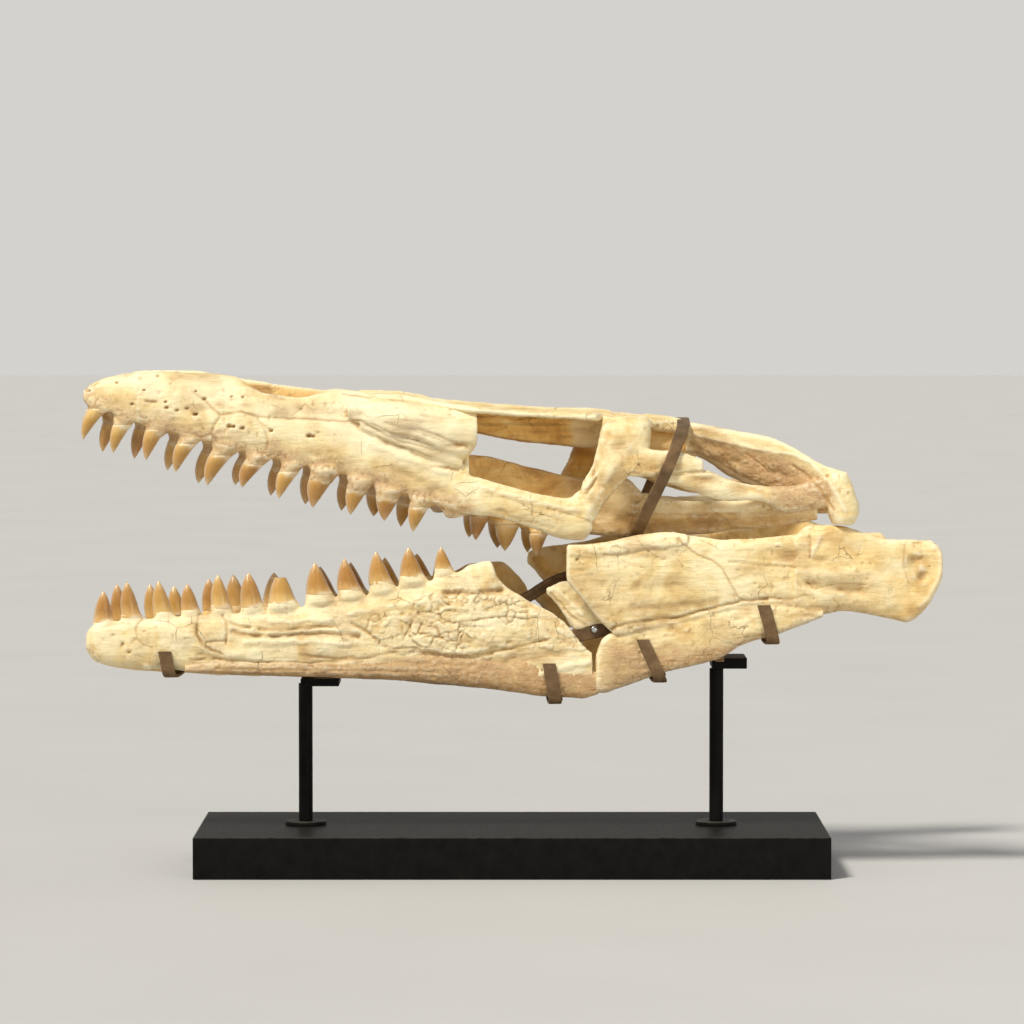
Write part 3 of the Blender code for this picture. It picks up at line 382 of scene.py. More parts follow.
DENTARY_MARKS = [
    (0.9, -0.9, 0.55, [(-368, 255), (-375, 250), (-378, 244.8), (-377, 235), (-371, 228.4),
        (-362, 225)]),
    ((2.0, 2.6), -2.6, 0.8, [(-392, 228)]),
    ((2.2, 1.6), -1.8, 0.5, [(-384, 220.8)]),
    ((1.6, 1.6), -1.2, 0.5, [(-400, 238)]),
    ((13, 13), 1.8, -0.35, [(-338, 239)]),
    ((4, 6), 1.0, -0.5, [(-327, 240)]),
    (1.3, -1.7, 0.6, [(-315, 258), (-318, 250), (-318.5, 238.6), (-313, 228.7), (-304, 223),
        (-294, 219)]),
    (1.3, -1.5, 0.55, [(-293, 257), (-289.5, 251), (-289, 240), (-290, 230)]),
    (1.2, -1.2, 0.5, [(-308, 231), (-300, 232), (-290, 232)]),
    ((11, 11), 1.7, -0.2, [(-304, 243)]),
    ((10, 5), 2.2, -0.75, [(-282, 218.5)]),
    ((12, 7), 2.4, -0.6, [(-193, 224.5)]),
    (1.6, -1.6, 0.7, [(-218, 218), (-201, 216.6), (-178, 214.2), (-165, 216)]),
    (1.8, -1.8, 0.5, [(-286, 250), (-276, 246), (-267, 245.5)]),
    (2.4, -2.6, 0.6, [(-284, 241), (-269, 237), (-247, 237), (-217, 239), (-178, 238),
        (-160, 236)]),
    (2.2, -2.2, 0.5, [(-258, 244), (-232, 243), (-204, 245), (-180, 246)]),
    (2.6, 1.6, -0.2, [(-248, 240.5), (-217, 242), (-180, 242)]),
    (3.2, 1.6, -0.3, [(-272, 231), (-245, 231), (-205, 232), (-170, 229)]),
    (2.4, 1.5, -0.2, [(-246, 251), (-217, 252), (-187, 253)]),
    (1.5, -1.5, 0.45, [(-325, 213.5), (-292, 214), (-255, 211), (-208, 209.5), (-154, 214.5),
        (-124, 221), (-99, 221), (-79, 218), (-49, 214.5), (-29, 219)]),
    (4.0, -1.2, 0.25, [(-330, 224), (-312, 219), (-285, 211)]),
    (3.2, -3.2, 0.55, [(-76, 278), (-62, 279), (-45, 279.5), (-20, 281)]),
    (4.0, 1.8, -0.25, [(-168, 259), (-134, 266), (-109, 269), (-80, 274)]),
    (1.5, -1.6, 0.5, [(-167, 249), (-152, 240), (-141, 231), (-131, 225), (-101, 223.5),
        (-76, 218), (-52, 216.5), (-28, 221), (-9, 224), (7, 228), (24, 232)]),
    (1.0, -1.2, 0.5, [(-82, 263), (-79, 254), (-68, 249.4), (-41, 253), (-16, 256), (8, 252)]),
    (1.0, -1.2, 0.5, [(-108, 252), (-111, 243), (-117, 233)]),
    (1.0, -1.2, 0.5, [(-98, 250), (-102, 240), (-90, 237), (-79, 235)]),
    (6.0, -1.8, 0.5, [(-98, 216), (-51, 209), (-1, 213), (41, 219)]),
    (1.2, -1.3, 0.6, [(-97, 220), (-95, 213), (-94, 206)]),
    (1.1, -1.0, 0.5, [(-88, 213), (-50, 206), (-8, 209), (30, 217)]),
    (3.0, 1.6, -0.4, [(-96, 201), (-66, 194.5), (-31, 190), (-1, 193), (21, 199), (44, 204),
        (66, 209)]),
    (6.0, -1.8, 0.3, [(-22, 181), (23, 187), (64, 192)]),
    ((5, 3), 1.8, 0.0, [(-366, 207)]),
    (1.4, -1.2, 0.4, [(-410, 246), (-396, 250), (-384, 249)]),
]
# The lower and upper edge of the flaking crust on the dentary: x and z
CRUST_FOOT = [(-162, 262), (-151, 241), (-143, 229), (-123, 221.5), (-98, 220), (-59, 216.6),
              (-25, 226), (18, 223), (57, 223)]
CRUST_HEAD = [(-162, 256), (-137, 264), (-95, 277), (-45, 285), (0, 274), (43, 250), (57, 236)]
PREARTICULAR_MARKS = [
    (1.5, -1.4, 0.6, [(32, 277), (42, 266), (52, 253), (66, 246)]),
    (2.5, 1.2, -0.3, [(38, 280), (50, 268), (62, 257)]),
    ((5, 7), -1.2, 0.5, [(58, 272)]),
    ((4, 4), -1.0, 0.6, [(48, 246)]),
]
REAR_JAW_MARKS = [
    (0.9, -1.0, 0.65, [(153, 333), (157, 328), (162, 324), (172, 316), (187, 310), (196, 303),
        (204, 288), (212, 274), (222, 270), (237, 272)]),
    (1.6, -2.0, 0.5, [(75, 234), (92, 245), (114, 251), (136, 252), (155, 254.5), (185, 263),
        (215, 271), (240, 273)]),
    (3.0, 1.2, -0.3, [(80, 229), (95, 239), (118, 245), (155, 248)]),
    (4.5, -1.2, 0.45, [(110, 263), (140, 264), (170, 266), (190, 271)]),
    ((1.6, 1.6), -1.8, 0.7, [(54, 311.6)]),
    ((1.4, 1.2), -1.2, 0.6, [(210, 302)]),
    (1.4, -1.0, 0.35, [(203, 309), (244, 305.5), (276, 304)]),
    ((13, 8), -3.0, 0.7, [(264, 317)]),
    (1.8, -2.6, 0.7, [(280, 335), (281, 325), (280, 314)]),
    (3.0, 1.8, -0.5, [(290, 334), (287, 327), (282, 317)]),
    ((8, 4), -0.8, 0.5, [(292, 312)]),
    ((18, 8), -0.6, 0.3, [(315, 325)]),
    (6.5, 1.8, -0.4, [(277, 299), (305, 298), (340, 299), (354, 286), (362, 268)]),
    (6.0, -2.6, 0.45, [(280, 288), (303, 284), (322, 281), (336, 281)]),
    ((14, 3.5), -1.8, 0.6, [(312, 282)]),
    (1.0, -1.2, 0.6, [(277, 290), (284, 282.5), (302, 287), (316, 288), (335, 287)]),
    ((15, 22), -3.4, 0.2, [(387, 299)]),
    ((19, 8), -0.9, 0.45, [(119, 247)]),
    ((9, 6), -0.9, 0.5, [(139, 254)]),
    ((5, 3), -0.8, 0.5, [(148, 243)]),
    (1.0, -0.8, 0.5, [(376, 326), (373, 311), (376, 298), (379, 288)]),
    (3.0, 1.6, -0.5, [(401, 328), (408, 322), (411, 313), (411, 300), (408, 289), (400, 275),
        (391, 264)]),
    (1.1, -1.0, 0.5, [(243, 274), (262, 272.5), (282, 278)]),
    (5.0, -0.6, 0.4, [(263, 256), (282, 261), (296, 266)]),
    ((12, 7), -1.2, 0.2, [(207, 255)]),
    ((14, 7), -1.2, 0.2, [(180, 240)]),
    ((9, 6), -1.0, 0.5, [(220, 262)]),
    (1.0, -0.8, 0.35, [(100, 225), (120, 232), (150, 236)]),
    (1.0, -0.6, 0.3, [(60, 318), (95, 316), (130, 322)]),
    (7.0, -1.6, 0.2, [(60, 296), (100, 284), (150, 288)]),
    (5.0, 1.4, -0.25, [(120, 328), (190, 322), (250, 327)]),
]
SPLENIAL_MARKS = [
    (1.2, -0.9, 0.35, [(-300, 205), (-230, 203), (-150, 202), (-60, 200)]),
    (2.5, -0.8, 0.3, [(-200, 207), (-120, 210), (-60, 208)]),
]


# ---------------------------------------------------------------- surfaces


def turned(points):
    """The points of the skull, turned on the stand: a turn by HEAD_YAW about z."""
    x, y, z = points[..., 0], points[..., 1], points[..., 2]
    ahead = x * math.cos(HEAD_YAW) - y * math.sin(HEAD_YAW)
    across = x * math.sin(HEAD_YAW) + y * math.cos(HEAD_YAW)
    return np.stack([ahead, across, z], -1)


def column_of(rows, column, places):
    """One column of a row table at the given places, by straight lines between its rows."""
    table = np.asarray(rows, float)
    return np.interp(places, table[:, 0], table[:, column])


def fallen(points):
    """The points of the right half of the jaw, let down by RIGHT_JAW_FALL at their x."""
    lowered = points.copy()
    lowered[..., 2] -= column_of(RIGHT_JAW_FALL, 1, points[..., 0])
    return lowered


def between(rows, places):
    """Each column of a row table at the given places, by cubic pieces that never overshoot.

    The slope at a row is the weighted harmonic mean of the slopes on its two sides, or 0
    where the two differ in sign. Between rows the Hermite cubic takes over.
    """
    table = np.asarray(rows, float)
    start, values = table[:, :1], table[:, 1:]
    step = np.diff(start, axis=0)
    rise = np.diff(values, axis=0) / step
    late = 2.0 * step[1:] + step[:-1]
    early = step[1:] + 2.0 * step[:-1]
    same = rise[1:] * rise[:-1] > 0.0
    safe_before = np.where(same, rise[:-1], 1.0)
    safe_after = np.where(same, rise[1:], 1.0)
    middle = np.where(same, (late + early) / (late / safe_before + early / safe_after), 0.0)
    slope = np.vstack([rise[:1], middle, rise[-1:]])
    k = np.clip(np.searchsorted(table[:, 0], places) - 1, 0, len(table) - 2)
    t = ((places - table[k, 0]) / step[k, 0])[:, None]
    return ((1.0 + 2.0 * t) * (1.0 - t) ** 2 * values[k]
            + t * (1.0 - t) ** 2 * step[k] * slope[k]
            + t * t * (3.0 - 2.0 * t) * values[k + 1]
            + t * t * (t - 1.0) * step[k] * slope[k + 1])


def spaced(rows, step=3.0):
    """Even places along a row table, with its ends among them."""
    first, last = rows[0][0], rows[-1][0]
    return np.linspace(first, last, max(4, int((last - first) / step) + 1))


def oval(count, power):
    """A unit oval round 0 to 2 pi: cos and sin, each raised to 2/power with its sign kept."""
    angle = np.arange(count) * 2.0 * math.pi / count
    c, s = np.cos(angle), np.sin(angle)
    return np.sign(c) * np.abs(c) ** (2.0 / power), np.sign(s) * np.abs(s) ** (2.0 / power)


def closed(grid):
    """The vertices and triangles of a tube of points (along, round, 3), its ends closed."""
    rows, count = grid.shape[:2]
    points = np.vstack([grid.reshape(-1, 3), grid[0].mean(0), grid[-1].mean(0)])
    i = np.arange(rows - 1)[:, None] * count
    j = np.arange(count)[None, :]
    k = (j + 1) % count
    a, b, c, d = i + j, i + k, i + count + k, i + count + j
    sides = np.concatenate([np.stack([a, b, c], -1), np.stack([a, c, d], -1)]).reshape(-1, 3)
    ring = np.arange(count)
    after = (ring + 1) % count
    first = np.stack([after, ring, np.full(count, rows * count)], -1)
    base = (rows - 1) * count
    last = np.stack([base + ring, base + after, np.full(count, rows * count + 1)], -1)
    faces = np.vstack([sides, first, last])
    a, b, c = points[faces[:, 0]], points[faces[:, 1]], points[faces[:, 2]]
    if np.einsum("ij,ij->i", a, np.cross(b, c)).sum() < 0.0:
        faces = faces[:, ::-1]
    return points, faces


def loft(x, y, z):
    """A closed tube through sections of points, where each coordinate is given for every section,
    for every point or both."""
    return closed(np.stack(np.broadcast_arrays(x, y, z), -1))


def joined(shells):
    """Several shells as one set of vertices and faces."""
    points, faces, count = [], [], 0
    for own_points, own_faces in shells:
        points.append(own_points)
        faces.append(own_faces + count)
        count += len(own_points)
    return np.vstack(points), np.vstack(faces)


def placed(name, data):
    """An object with its data, put into the scene."""
    thing = bpy.data.objects.new(name, data)
    bpy.context.scene.collection.objects.link(thing)
    return thing


def new_object(name, points, faces):
    """An object with a mesh of the points, in metres, and of triangles or quads."""
    mesh = bpy.data.meshes.new(name)
    corners = faces.shape[1]
    mesh.vertices.add(len(points))
    mesh.vertices.foreach_set("co", np.ascontiguousarray(points, np.float32).ravel())
    mesh.loops.add(faces.size)
    mesh.loops.foreach_set("vertex_index", np.ascontiguousarray(faces, np.int32).ravel())
    mesh.polygons.add(len(faces))
    mesh.polygons.foreach_set("loop_start", np.arange(len(faces), dtype=np.int32) * corners)
    mesh.update(calc_edges=True)
    mesh.validate()
    return placed(name, mesh)


def fused(shells, skin, rounds=4):
    """One even skin round all the shells: they are joined, remeshed to faces of the size skin, and
    their creases are eased by moving each vertex towards the mean of its neighbours."""
    points, faces = joined(shells)
    thing = new_object("fusing", points * MM, faces)
    step = thing.modifiers.new("skin", "REMESH")
    step.mode = "VOXEL"
    step.voxel_size = skin * MM
    step = thing.modifiers.new("ease", "SMOOTH")
    step.factor = 0.5
    step.iterations = rounds
    graph = bpy.context.evaluated_depsgraph_get()
    mesh = bpy.data.meshes.new_from_object(thing.evaluated_get(graph))
    co = np.empty(len(mesh.vertices) * 3)
    mesh.vertices.foreach_get("co", co)
    normal = np.empty(len(mesh.vertices) * 3)
    mesh.vertex_normals.foreach_get("vector", normal)
    quads = np.empty(len(mesh.loops), int)
    mesh.loops.foreach_get("vertex_index", quads)
    bpy.data.objects.remove(thing)
    bpy.data.meshes.remove(mesh)
    return co.reshape(-1, 3) / MM, normal.reshape(-1, 3), quads.reshape(-1, 4)


# ---------------------------------------------------------------- relief

_shuffle = np.random.default_rng(11).permutation(4096)
_values = np.random.default_rng(12).uniform(-1.0, 1.0, 4096)


def code_of(cell):
    """A whole number from 0 to 4095 for each cell of an endless grid, as if drawn by lot."""
    code = _shuffle[cell[..., 0] & 4095]
    code = _shuffle[(code + cell[..., 1]) & 4095]
    return _shuffle[(code + cell[..., 2]) & 4095]


def noise(points, size, seed):
    """Smooth noise from -1 to 1: random numbers at the corners of a grid of the given size, blended
    across each cell by 3t^2 - 2t^3."""
    place = points / np.asarray(size, float) + seed * 17.31 + 500.0
    cell = np.floor(place).astype(int)
    t = place - cell
    t = t * t * (3.0 - 2.0 * t)
    total = np.zeros(len(points))
    for corner in range(8):
        up = np.array([corner & 1, corner >> 1 & 1, corner >> 2 & 1])
        total += np.where(up, t, 1.0 - t).prod(axis=1) * _values[code_of(cell + up)]
    return total


def plates(points, size, seed):
    """How far each point is from the edge of its plate of broken surface, and a random lift of
    -1 to 1 for the whole plate.

    Every cell of a grid holds one random point. The first value is the distance to the second
    nearest of them less the distance to the nearest, and the lift is the nearest one's own.
    """
    place = points / np.asarray(size, float) + seed * 5.7 + 300.0
    cell = np.floor(place).astype(int)
    nearest = np.full(len(points), 9.0)
    second = np.full(len(points), 9.0)
    lift = np.zeros(len(points))
    for corner in range(27):
        near = cell + np.array([corner % 3, corner // 3 % 3, corner // 9]) - 1
        code = code_of(near)
        centre = near + 0.5 + 0.45 * np.stack(
            [_values[code], _values[(code + 7) & 4095], _values[(code + 19) & 4095]], -1)
        gap = np.linalg.norm(centre - place, axis=1)
        second = np.minimum(second, np.maximum(nearest, gap))
        lift = np.where(gap < nearest, _values[(code + 31) & 4095], lift)
        nearest = np.minimum(nearest, gap)
    return second - nearest, lift


def hollows(points, normals, quads, rounds=12):
    """How far each point lies below the surface as it would be if it were smoothed: the mean of its
    neighbours, taken again and again. Where the surface stands out, it is less than 0."""
    start, end = quads.ravel(), np.roll(quads, -1, axis=1).ravel()
    count = np.maximum(np.bincount(start, minlength=len(points)), 1)
    smoothed = points
    for _ in range(rounds):
        smoothed = np.stack([np.bincount(start, smoothed[end, axis], len(points)) / count
                             for axis in range(3)], -1)
    return ((smoothed - points) * normals).sum(axis=1)


def smooth_step(low, high, value):
    """0 below low, 1 above high, and 3t^2 - 2t^3 between them."""
    t = np.clip((value - low) / (high - low), 0.0, 1.0)
    return t * t * (3.0 - 2.0 * t)


def mark_distance(flat, size, path):
    """Distance of flat points from a path of straight pieces, or from one point, in half widths."""
    path = np.asarray(path, float)
    if len(path) == 1:
        return np.linalg.norm((flat - path[0]) / np.asarray(size, float), axis=1)
    best = np.full(len(flat), 1e9)
    for start, end in zip(path, path[1:]):
        way = end - start
        t = np.clip((flat - start) @ way / (way @ way), 0.0, 1.0)
        best = np.minimum(best, np.linalg.norm(flat - start - t[:, None] * way, axis=1))
    return best / size


def press_marks(points, seed, marks, flat, weight):
    """The height and the tints of a bone's marks: each fades as exp(-d^2) from its path.

    The surface is swayed by smooth noise before the distance d is taken, so that no mark runs
    straight, and a dip is deeper in some places than in others.
    """
    height = np.zeros(len(points))
    brown = np.zeros(len(points))
    pale = np.zeros(len(points))
    sway = np.stack([noise(points, 9.0, seed + 70), noise(points, 9.0, seed + 71)], -1)
    sway += 0.6 * np.stack([noise(points, 3.5, seed + 72), noise(points, 3.5, seed + 73)], -1)
    uneven = np.clip(0.8 + 0.8 * noise(points, 9.0, seed + 74), 0.15, 1.4)
    for size, rise, tint, path in marks:
        widest = float(np.max(size))
        path = np.asarray(path, float)
        far = 3.2 * widest + 3.0
        box = (flat > path.min(0) - far) & (flat < path.max(0) + far)
        near = np.flatnonzero(box.all(axis=1) & (weight > 0.0))
        if not len(near):
            continue
        swayed = flat[near] + sway[near] * min(1.2, 0.45 * widest)
        share = np.exp(-mark_distance(swayed, size, path) ** 2) * weight[near]
        height[near] += rise * share * (uneven[near] if rise < 0.0 else 1.0)
        if tint > 0.0:
            brown[near] = np.maximum(brown[near], tint * share)
        else:
            pale[near] = np.maximum(pale[near], -tint * share)
    return height, brown, pale


# ---------------------------------------------------------------- bones


def long_bone(rows, side, power=2.6, count=40, gums=None):
    """A bone along the head. At x its section is an oval of the row's thickness and height,
    y = outer - thickness / 2 + across * thickness / 2 + up * lean / 2."""
    x = spaced(rows, 2.5)
    top, bottom, outer, thickness, *lean = between(rows, x).T[:, :, None]
    if gums:
        top = top - arched(x, gums, LOWER_ARCH)[:, None]
    across, up = oval(count, power)
    y = outer - thickness / 2.0 + across * thickness / 2.0 + up * (lean[0] if lean else 0.0) / 2.0
    z = (top + bottom) / 2.0 + up * (top - bottom) / 2.0
    return loft(x[:, None], side * y, z)


def tall_bone(rows, side, power=2.6, count=40):
    """An upright bone: at z its section is an oval between the row's front, rear and two faces."""
    z = spaced(rows, 2.5)
    front, rear, outer, inner = between(rows, z).T[:, :, None]
    along, across = oval(count, power)
    x = (front + rear) / 2.0 + along * (rear - front) / 2.0
    y = (outer + inner) / 2.0 + across * (outer - inner) / 2.0
    return loft(x, side * y, z[:, None])


def midline_bone(rows, narrowing, power, count=64):
    """A bone on the midline: an oval that is narrower at the top by the share narrowing."""
    x = spaced(rows)
    top, bottom, half = between(rows, x).T[:, :, None]
    across, up = oval(count, power)
    y = across * half * (1.0 - narrowing * (up + 1.0) / 2.0)
    z = (top + bottom) / 2.0 + up * (top - bottom) / 2.0
    return loft(x[:, None], y, z)


def through(corners, count):
    """A smooth curve through a row of corners (y, z), for every section at once (Catmull-Rom)."""
    share = np.linspace(0.0, len(corners) - 1.0, count)
    low = np.clip(share.astype(int), 0, len(corners) - 2)
    t = share - low

    def curve(v):
        before = v[:, np.clip(low - 1, 0, None)]
        after = v[:, np.clip(low + 2, None, len(corners) - 1)]
        a, b = v[:, low], v[:, low + 1]
        return 0.5 * (2.0 * a + (b - before) * t
                      + (2.0 * before - 5.0 * a + 4.0 * b - after) * t ** 2
                      + (3.0 * a - before - 3.0 * b + after) * t ** 3)

    return [curve(np.stack(values, -1)) for values in zip(*corners)]


def half_snout(side, first, last, inset=0.0, sway=0.0):
    """Half of the snout from x = first to last, with a flat inner face and a hollow palate.

    The section goes through points that are shares of the bone's half width and height, from the
    palate's middle out to the gum, up the side and over to the midline. Between the nostril's ends
    the top beside the midline sinks, which leaves the nasal bar standing. The front end sways, so
    that the seam there isn't straight.
    """
    x = np.arange(first, last + 0.1, 2.0)
    top, bottom, half = between(SNOUT, np.clip(x, SNOUT[0][0], SNOUT[-1][0])).T
    bottom = bottom + arched(x, places_of(UPPER_ROW, side), UPPER_ARCH)
    vault = VAULT_HEIGHT * smooth_step(-415.0, -380.0, x) * smooth_step(-50.0, -90.0, x)
    nostril = smooth_step(-278.0, -246.0, x) * smooth_step(-174.0, -226.0, x)
    half, top, bottom = half - inset, top - inset, bottom + inset
    tall = top - bottom
    inside = np.clip(half - GUM_WIDTH, half * 0.3, None)
    zero = 0.0 * half
    corners = [
        (zero, bottom + vault), (0.6 * inside, bottom + vault), (inside, bottom + 1.5),
        (half * 0.93 - 1.0, bottom), (half, bottom + 0.22 * tall),
        (half * 0.98, bottom + 0.42 * tall), (half * 0.87, bottom + 0.66 * tall),
        (half * 0.7, bottom + 0.87 * tall - 2.5 * nostril),
        (half * (0.46 + 0.12 * nostril), bottom + 0.985 * tall - 12.5 * nostril),
        (half * (0.3 + 0.1 * nostril), bottom + 0.995 * tall - 21.0 * nostril),
        (half * 0.12, bottom + tall - 26.0 * nostril), (zero, bottom + tall - 26.0 * nostril),
    ]
    y, z = through(corners, 71)
    y = np.clip(y, SEAM, None)
    shift = sway * np.sin(z / 6.3) + 0.6 * sway * np.sin(y / 4.1 + 1.0)
    ahead = x[:, None] + shift * smooth_step(first + 14.0, first, x)[:, None]
    return loft(ahead, side * y, z)


def roof_plate(rows):
    """A plate of the skull roof: its edge drops a little to a thin rim, and below it is a keel."""
    x = spaced(rows)
    top, half, drop, rim, keel = between(rows, x).T
    edge = top - drop
    right = [
        (0.0 * half, top), (0.3 * half, top - 0.1 * drop), (0.6 * half, top - 0.3 * drop),
        (0.9 * half, edge + 0.1 * rim), (half, edge - 0.4 * rim), (0.95 * half, edge - 0.85 * rim),
        (0.7 * half, edge - 0.95 * rim), (0.45 * half, edge - rim - 1.0),
        (0.3 * half, top - 0.7 * keel), (0.22 * half, top - 0.97 * keel), (0.0 * half, top - keel),
    ]
    left = [(-y, z) for y, z in right[-2:0:-1]]
    y, z = through(right + left + [right[0]], 97)
    y, z = y[:, :-1], z[:, :-1]
    return loft(x[:, None], y, z)


# ---------------------------------------------------------------- teeth


def tooth(place, side, reach, start, end, taper, grow, flare, steps=30, count=30, sunk=0.0):
    """The part of a tooth from the share start to the share end of its height above the gum.

    At the share s its half length is h * (1 - s ** a) ** b + grow * (1 - s), and its middle goes
    from the root's to the tip by 1.7 s - 0.7 s^2, so that the tooth curves. A keel runs up its
    front and its back. At the gum it flares out, most of all behind, and below it it thins from
    side to side. Its first part can be sunk, by a share of the radius, to start inside the root.
    """
    front, rear, gum, tip_x, tip_z = place
    power, blunt = taper
    s = np.linspace(start, end, steps)[:, None]
    middle, half = (front + rear) / 2.0, (rear - front) / 2.0
    above = np.clip(s, 0.0, 1.0)
    radius = half * (1.0 - above ** power) ** blunt + grow * (1.0 - above)
    radius = radius * (1.0 + flare * smooth_step(0.22, -0.3, s))
    radius = radius * (1.0 - sunk * smooth_step(start + 0.09, start, s))
    angle = np.arange(count)[None, :] * 2.0 * math.pi / count
    keel = 1.0 + 0.05 * np.abs(np.cos(angle)) ** 12 * above
    facet = 1.0 + 0.012 * np.cos(9.0 * angle + 2.0 * s)
    behind = 1.0 + 0.2 * smooth_step(0.35, -0.1, s) * np.clip(np.cos(angle), 0.0, 1.0)
    x = middle + (tip_x - middle) * (1.7 * above - 0.7 * above ** 2)
    x = x + radius * keel * facet * behind * np.cos(angle)
    thin = TOOTH_FLATNESS * (1.0 - 0.65 * smooth_step(0.0, -0.38, s))
    y = reach + thin * radius * facet * np.sin(angle)
    return loft(x, side * y, gum + (tip_z - gum) * s), s, angle


def places_of(row, side):
    """The places of a row of teeth: on the right side each is moved along by its own shift."""
    places, shifts = row[:2]
    if side < 0.0:
        return places
    moved = []
    for (front, rear, gum, tip_x, tip_z), (along, less) in zip(places, shifts):
        up = 1.0 if tip_z > gum else -1.0
        moved.append((front + along, rear + along, gum, tip_x + along, tip_z - up * less))
    return moved


def teeth_of(row, side):
    """Each tooth of a row: its place, the side distance of its middle, its taper, and the share of
    its height where its enamel begins."""
    rows, inset, tapers, shares = row[2:]
    return [(place, column_of(rows, 3, (place[0] + place[1]) / 2.0) - inset, taper, share)
            for place, taper, share in zip(places_of(row, side), tapers, shares)]


def arched(x, places, depth):
    """How far the gum is drawn back at x: nothing at a tooth, and depth midway between two."""
    gap = np.min([np.maximum(place[0] - x, x - place[1]) for place in places], axis=0)
    ends = smooth_step(places[0][0], places[0][1], x) * smooth_step(
        places[-1][1] + 16.0, places[-1][1] + 6.0, x)
    return depth * smooth_step(-9.0, 3.5, gap) * ends


def row_of_roots(teeth, side, swell):
    """The roots of some teeth, sunk in the bone, each with a collar of bone round it, which is
    longer than the tooth by swell at its front and its back."""
    shells = []
    for place, reach, taper, share in teeth:
        shells.append(tooth(place, side, reach, ROOT_START, share + ROOT_ABOVE, taper,
                            grow=-0.1, flare=0.24)[0])
        collar = (place[0] - swell, place[1] + swell, *place[2:])
        shells.append(tooth(collar, side, reach, ROOT_START, -0.02, CONE,
                            grow=-0.9, flare=0.22, steps=14)[0])
    return shells


def row_of_crowns(name, teeth, side, low=False, broken=None):
    """The crowns of a row of teeth, with masks for the share of the height, the line where the
    enamel begins, which is lower at the back of a tooth, the two keels and each tooth's shade."""
    shells, masks = [], {"height": [], "enamel": [], "keel": [], "shade": []}
    chance = np.random.default_rng(len(teeth) * 7 + int(side) + 40)
    for number, (place, reach, taper, share) in enumerate(teeth):
        end = BROKEN_AT if number == broken and side < 0.0 else 1.0
        shell, s, angle = tooth(place, side, reach, share - CROWN_BELOW, end, taper,
                                grow=0.25, flare=0.2, sunk=0.2)
        count = angle.shape[1]
        if end < 1.0:
            shell[0][(len(s) - 1) * count:len(s) * count, 2] += chance.uniform(-0.8, 0.8, count)
        shells.append(shell)
        edge = share + 0.09 * np.cos(angle) + chance.uniform(-0.04, 0.04)
        edge = edge + 0.02 * np.sin(5.0 * angle + number)
        shade = chance.uniform(0.0, 1.0)
        own = (s, smooth_step(edge - 0.09, edge + 0.05, s), np.abs(np.cos(angle)) ** 6, shade)
        for values, grid in zip(masks.values(), own):
            grid = np.broadcast_to(grid, (len(s), count))
            values.append(np.append(grid.ravel(), [grid[0].mean(), grid[-1].mean()]))
    points, faces = joined(shells)
    if low and side > 0.0:
        points = fallen(points)
    masks = {label: np.concatenate(values) for label, values in masks.items()}
    piece(name, turned(points), faces, CROWN, masks=masks)


# ---------------------------------------------------------------- finishes


def add(tree, kind, sockets=None, **settings):
    """A shader node with its settings, its sockets set to values or linked from other nodes."""
    made = tree.nodes.new("ShaderNode" + kind)
    for name, value in settings.items():
        setattr(made, name, value)
    for name, value in (sockets or {}).items():
        if isinstance(value, bpy.types.NodeSocket):
            tree.links.new(value, made.inputs[name])
        else:
            made.inputs[name].default_value = value
    return made


def math_node(tree, operation, *values, clamp=False):
    """A sum or product of values, each a number or another node's."""
    return add(tree, "Math", dict(enumerate(values)), operation=operation,
               use_clamp=clamp).outputs[0]


def clouds(tree, where, scale, detail=3.0, roughness=0.5, distortion=0.0, output="Fac"):
    """Layered noise from 0 to 1."""
    return add(tree, "TexNoise", {"Vector": where, "Scale": scale, "Detail": detail,
                                  "Roughness": roughness, "Distortion": distortion}).outputs[output]


def ranged(tree, value, low, high, start=0.0, end=1.0):
    """The value's range from low to high, moved to start to end and kept within it."""
    return add(tree, "MapRange", {"Value": value, "From Min": low, "From Max": high,
                                  "To Min": start, "To Max": end}).outputs[0]


def mask_of(tree, name):
    """A mask that the piece keeps at its vertices."""
    return add(tree, "Attribute", attribute_name=name).outputs["Fac"]


def mixed(tree, share, first, second):
    """A colour between two, by a share from 0 to 1."""
    return add(tree, "Mix", {0: share, 6: first, 7: second}, data_type="RGBA").outputs[2]


def ramp_of(tree, value, stops):
    """A colour ramp through the stops, each a place and a colour."""
    ramp = add(tree, "ValToRGB", {"Fac": value})
    elements = ramp.color_ramp.elements
    while len(elements) < len(stops):
        elements.new(0.5)
    for element, (place, colour) in zip(elements, stops):
        element.position = place
        element.color = (*colour, 1.0)
    return ramp.outputs["Color"]


def make_group(name, outputs):
    """An empty node group that takes the place on the surface."""
    group = bpy.data.node_groups.new(name, "ShaderNodeTree")
    group.interface.new_socket("Vector", in_out="INPUT", socket_type="NodeSocketVector")
    for label in outputs:
        group.interface.new_socket(label, in_out="OUTPUT", socket_type="NodeSocketFloat")
    start = group.nodes.new("NodeGroupInput").outputs[0]
    end = group.nodes.new("NodeGroupOutput")
    return group, start, end


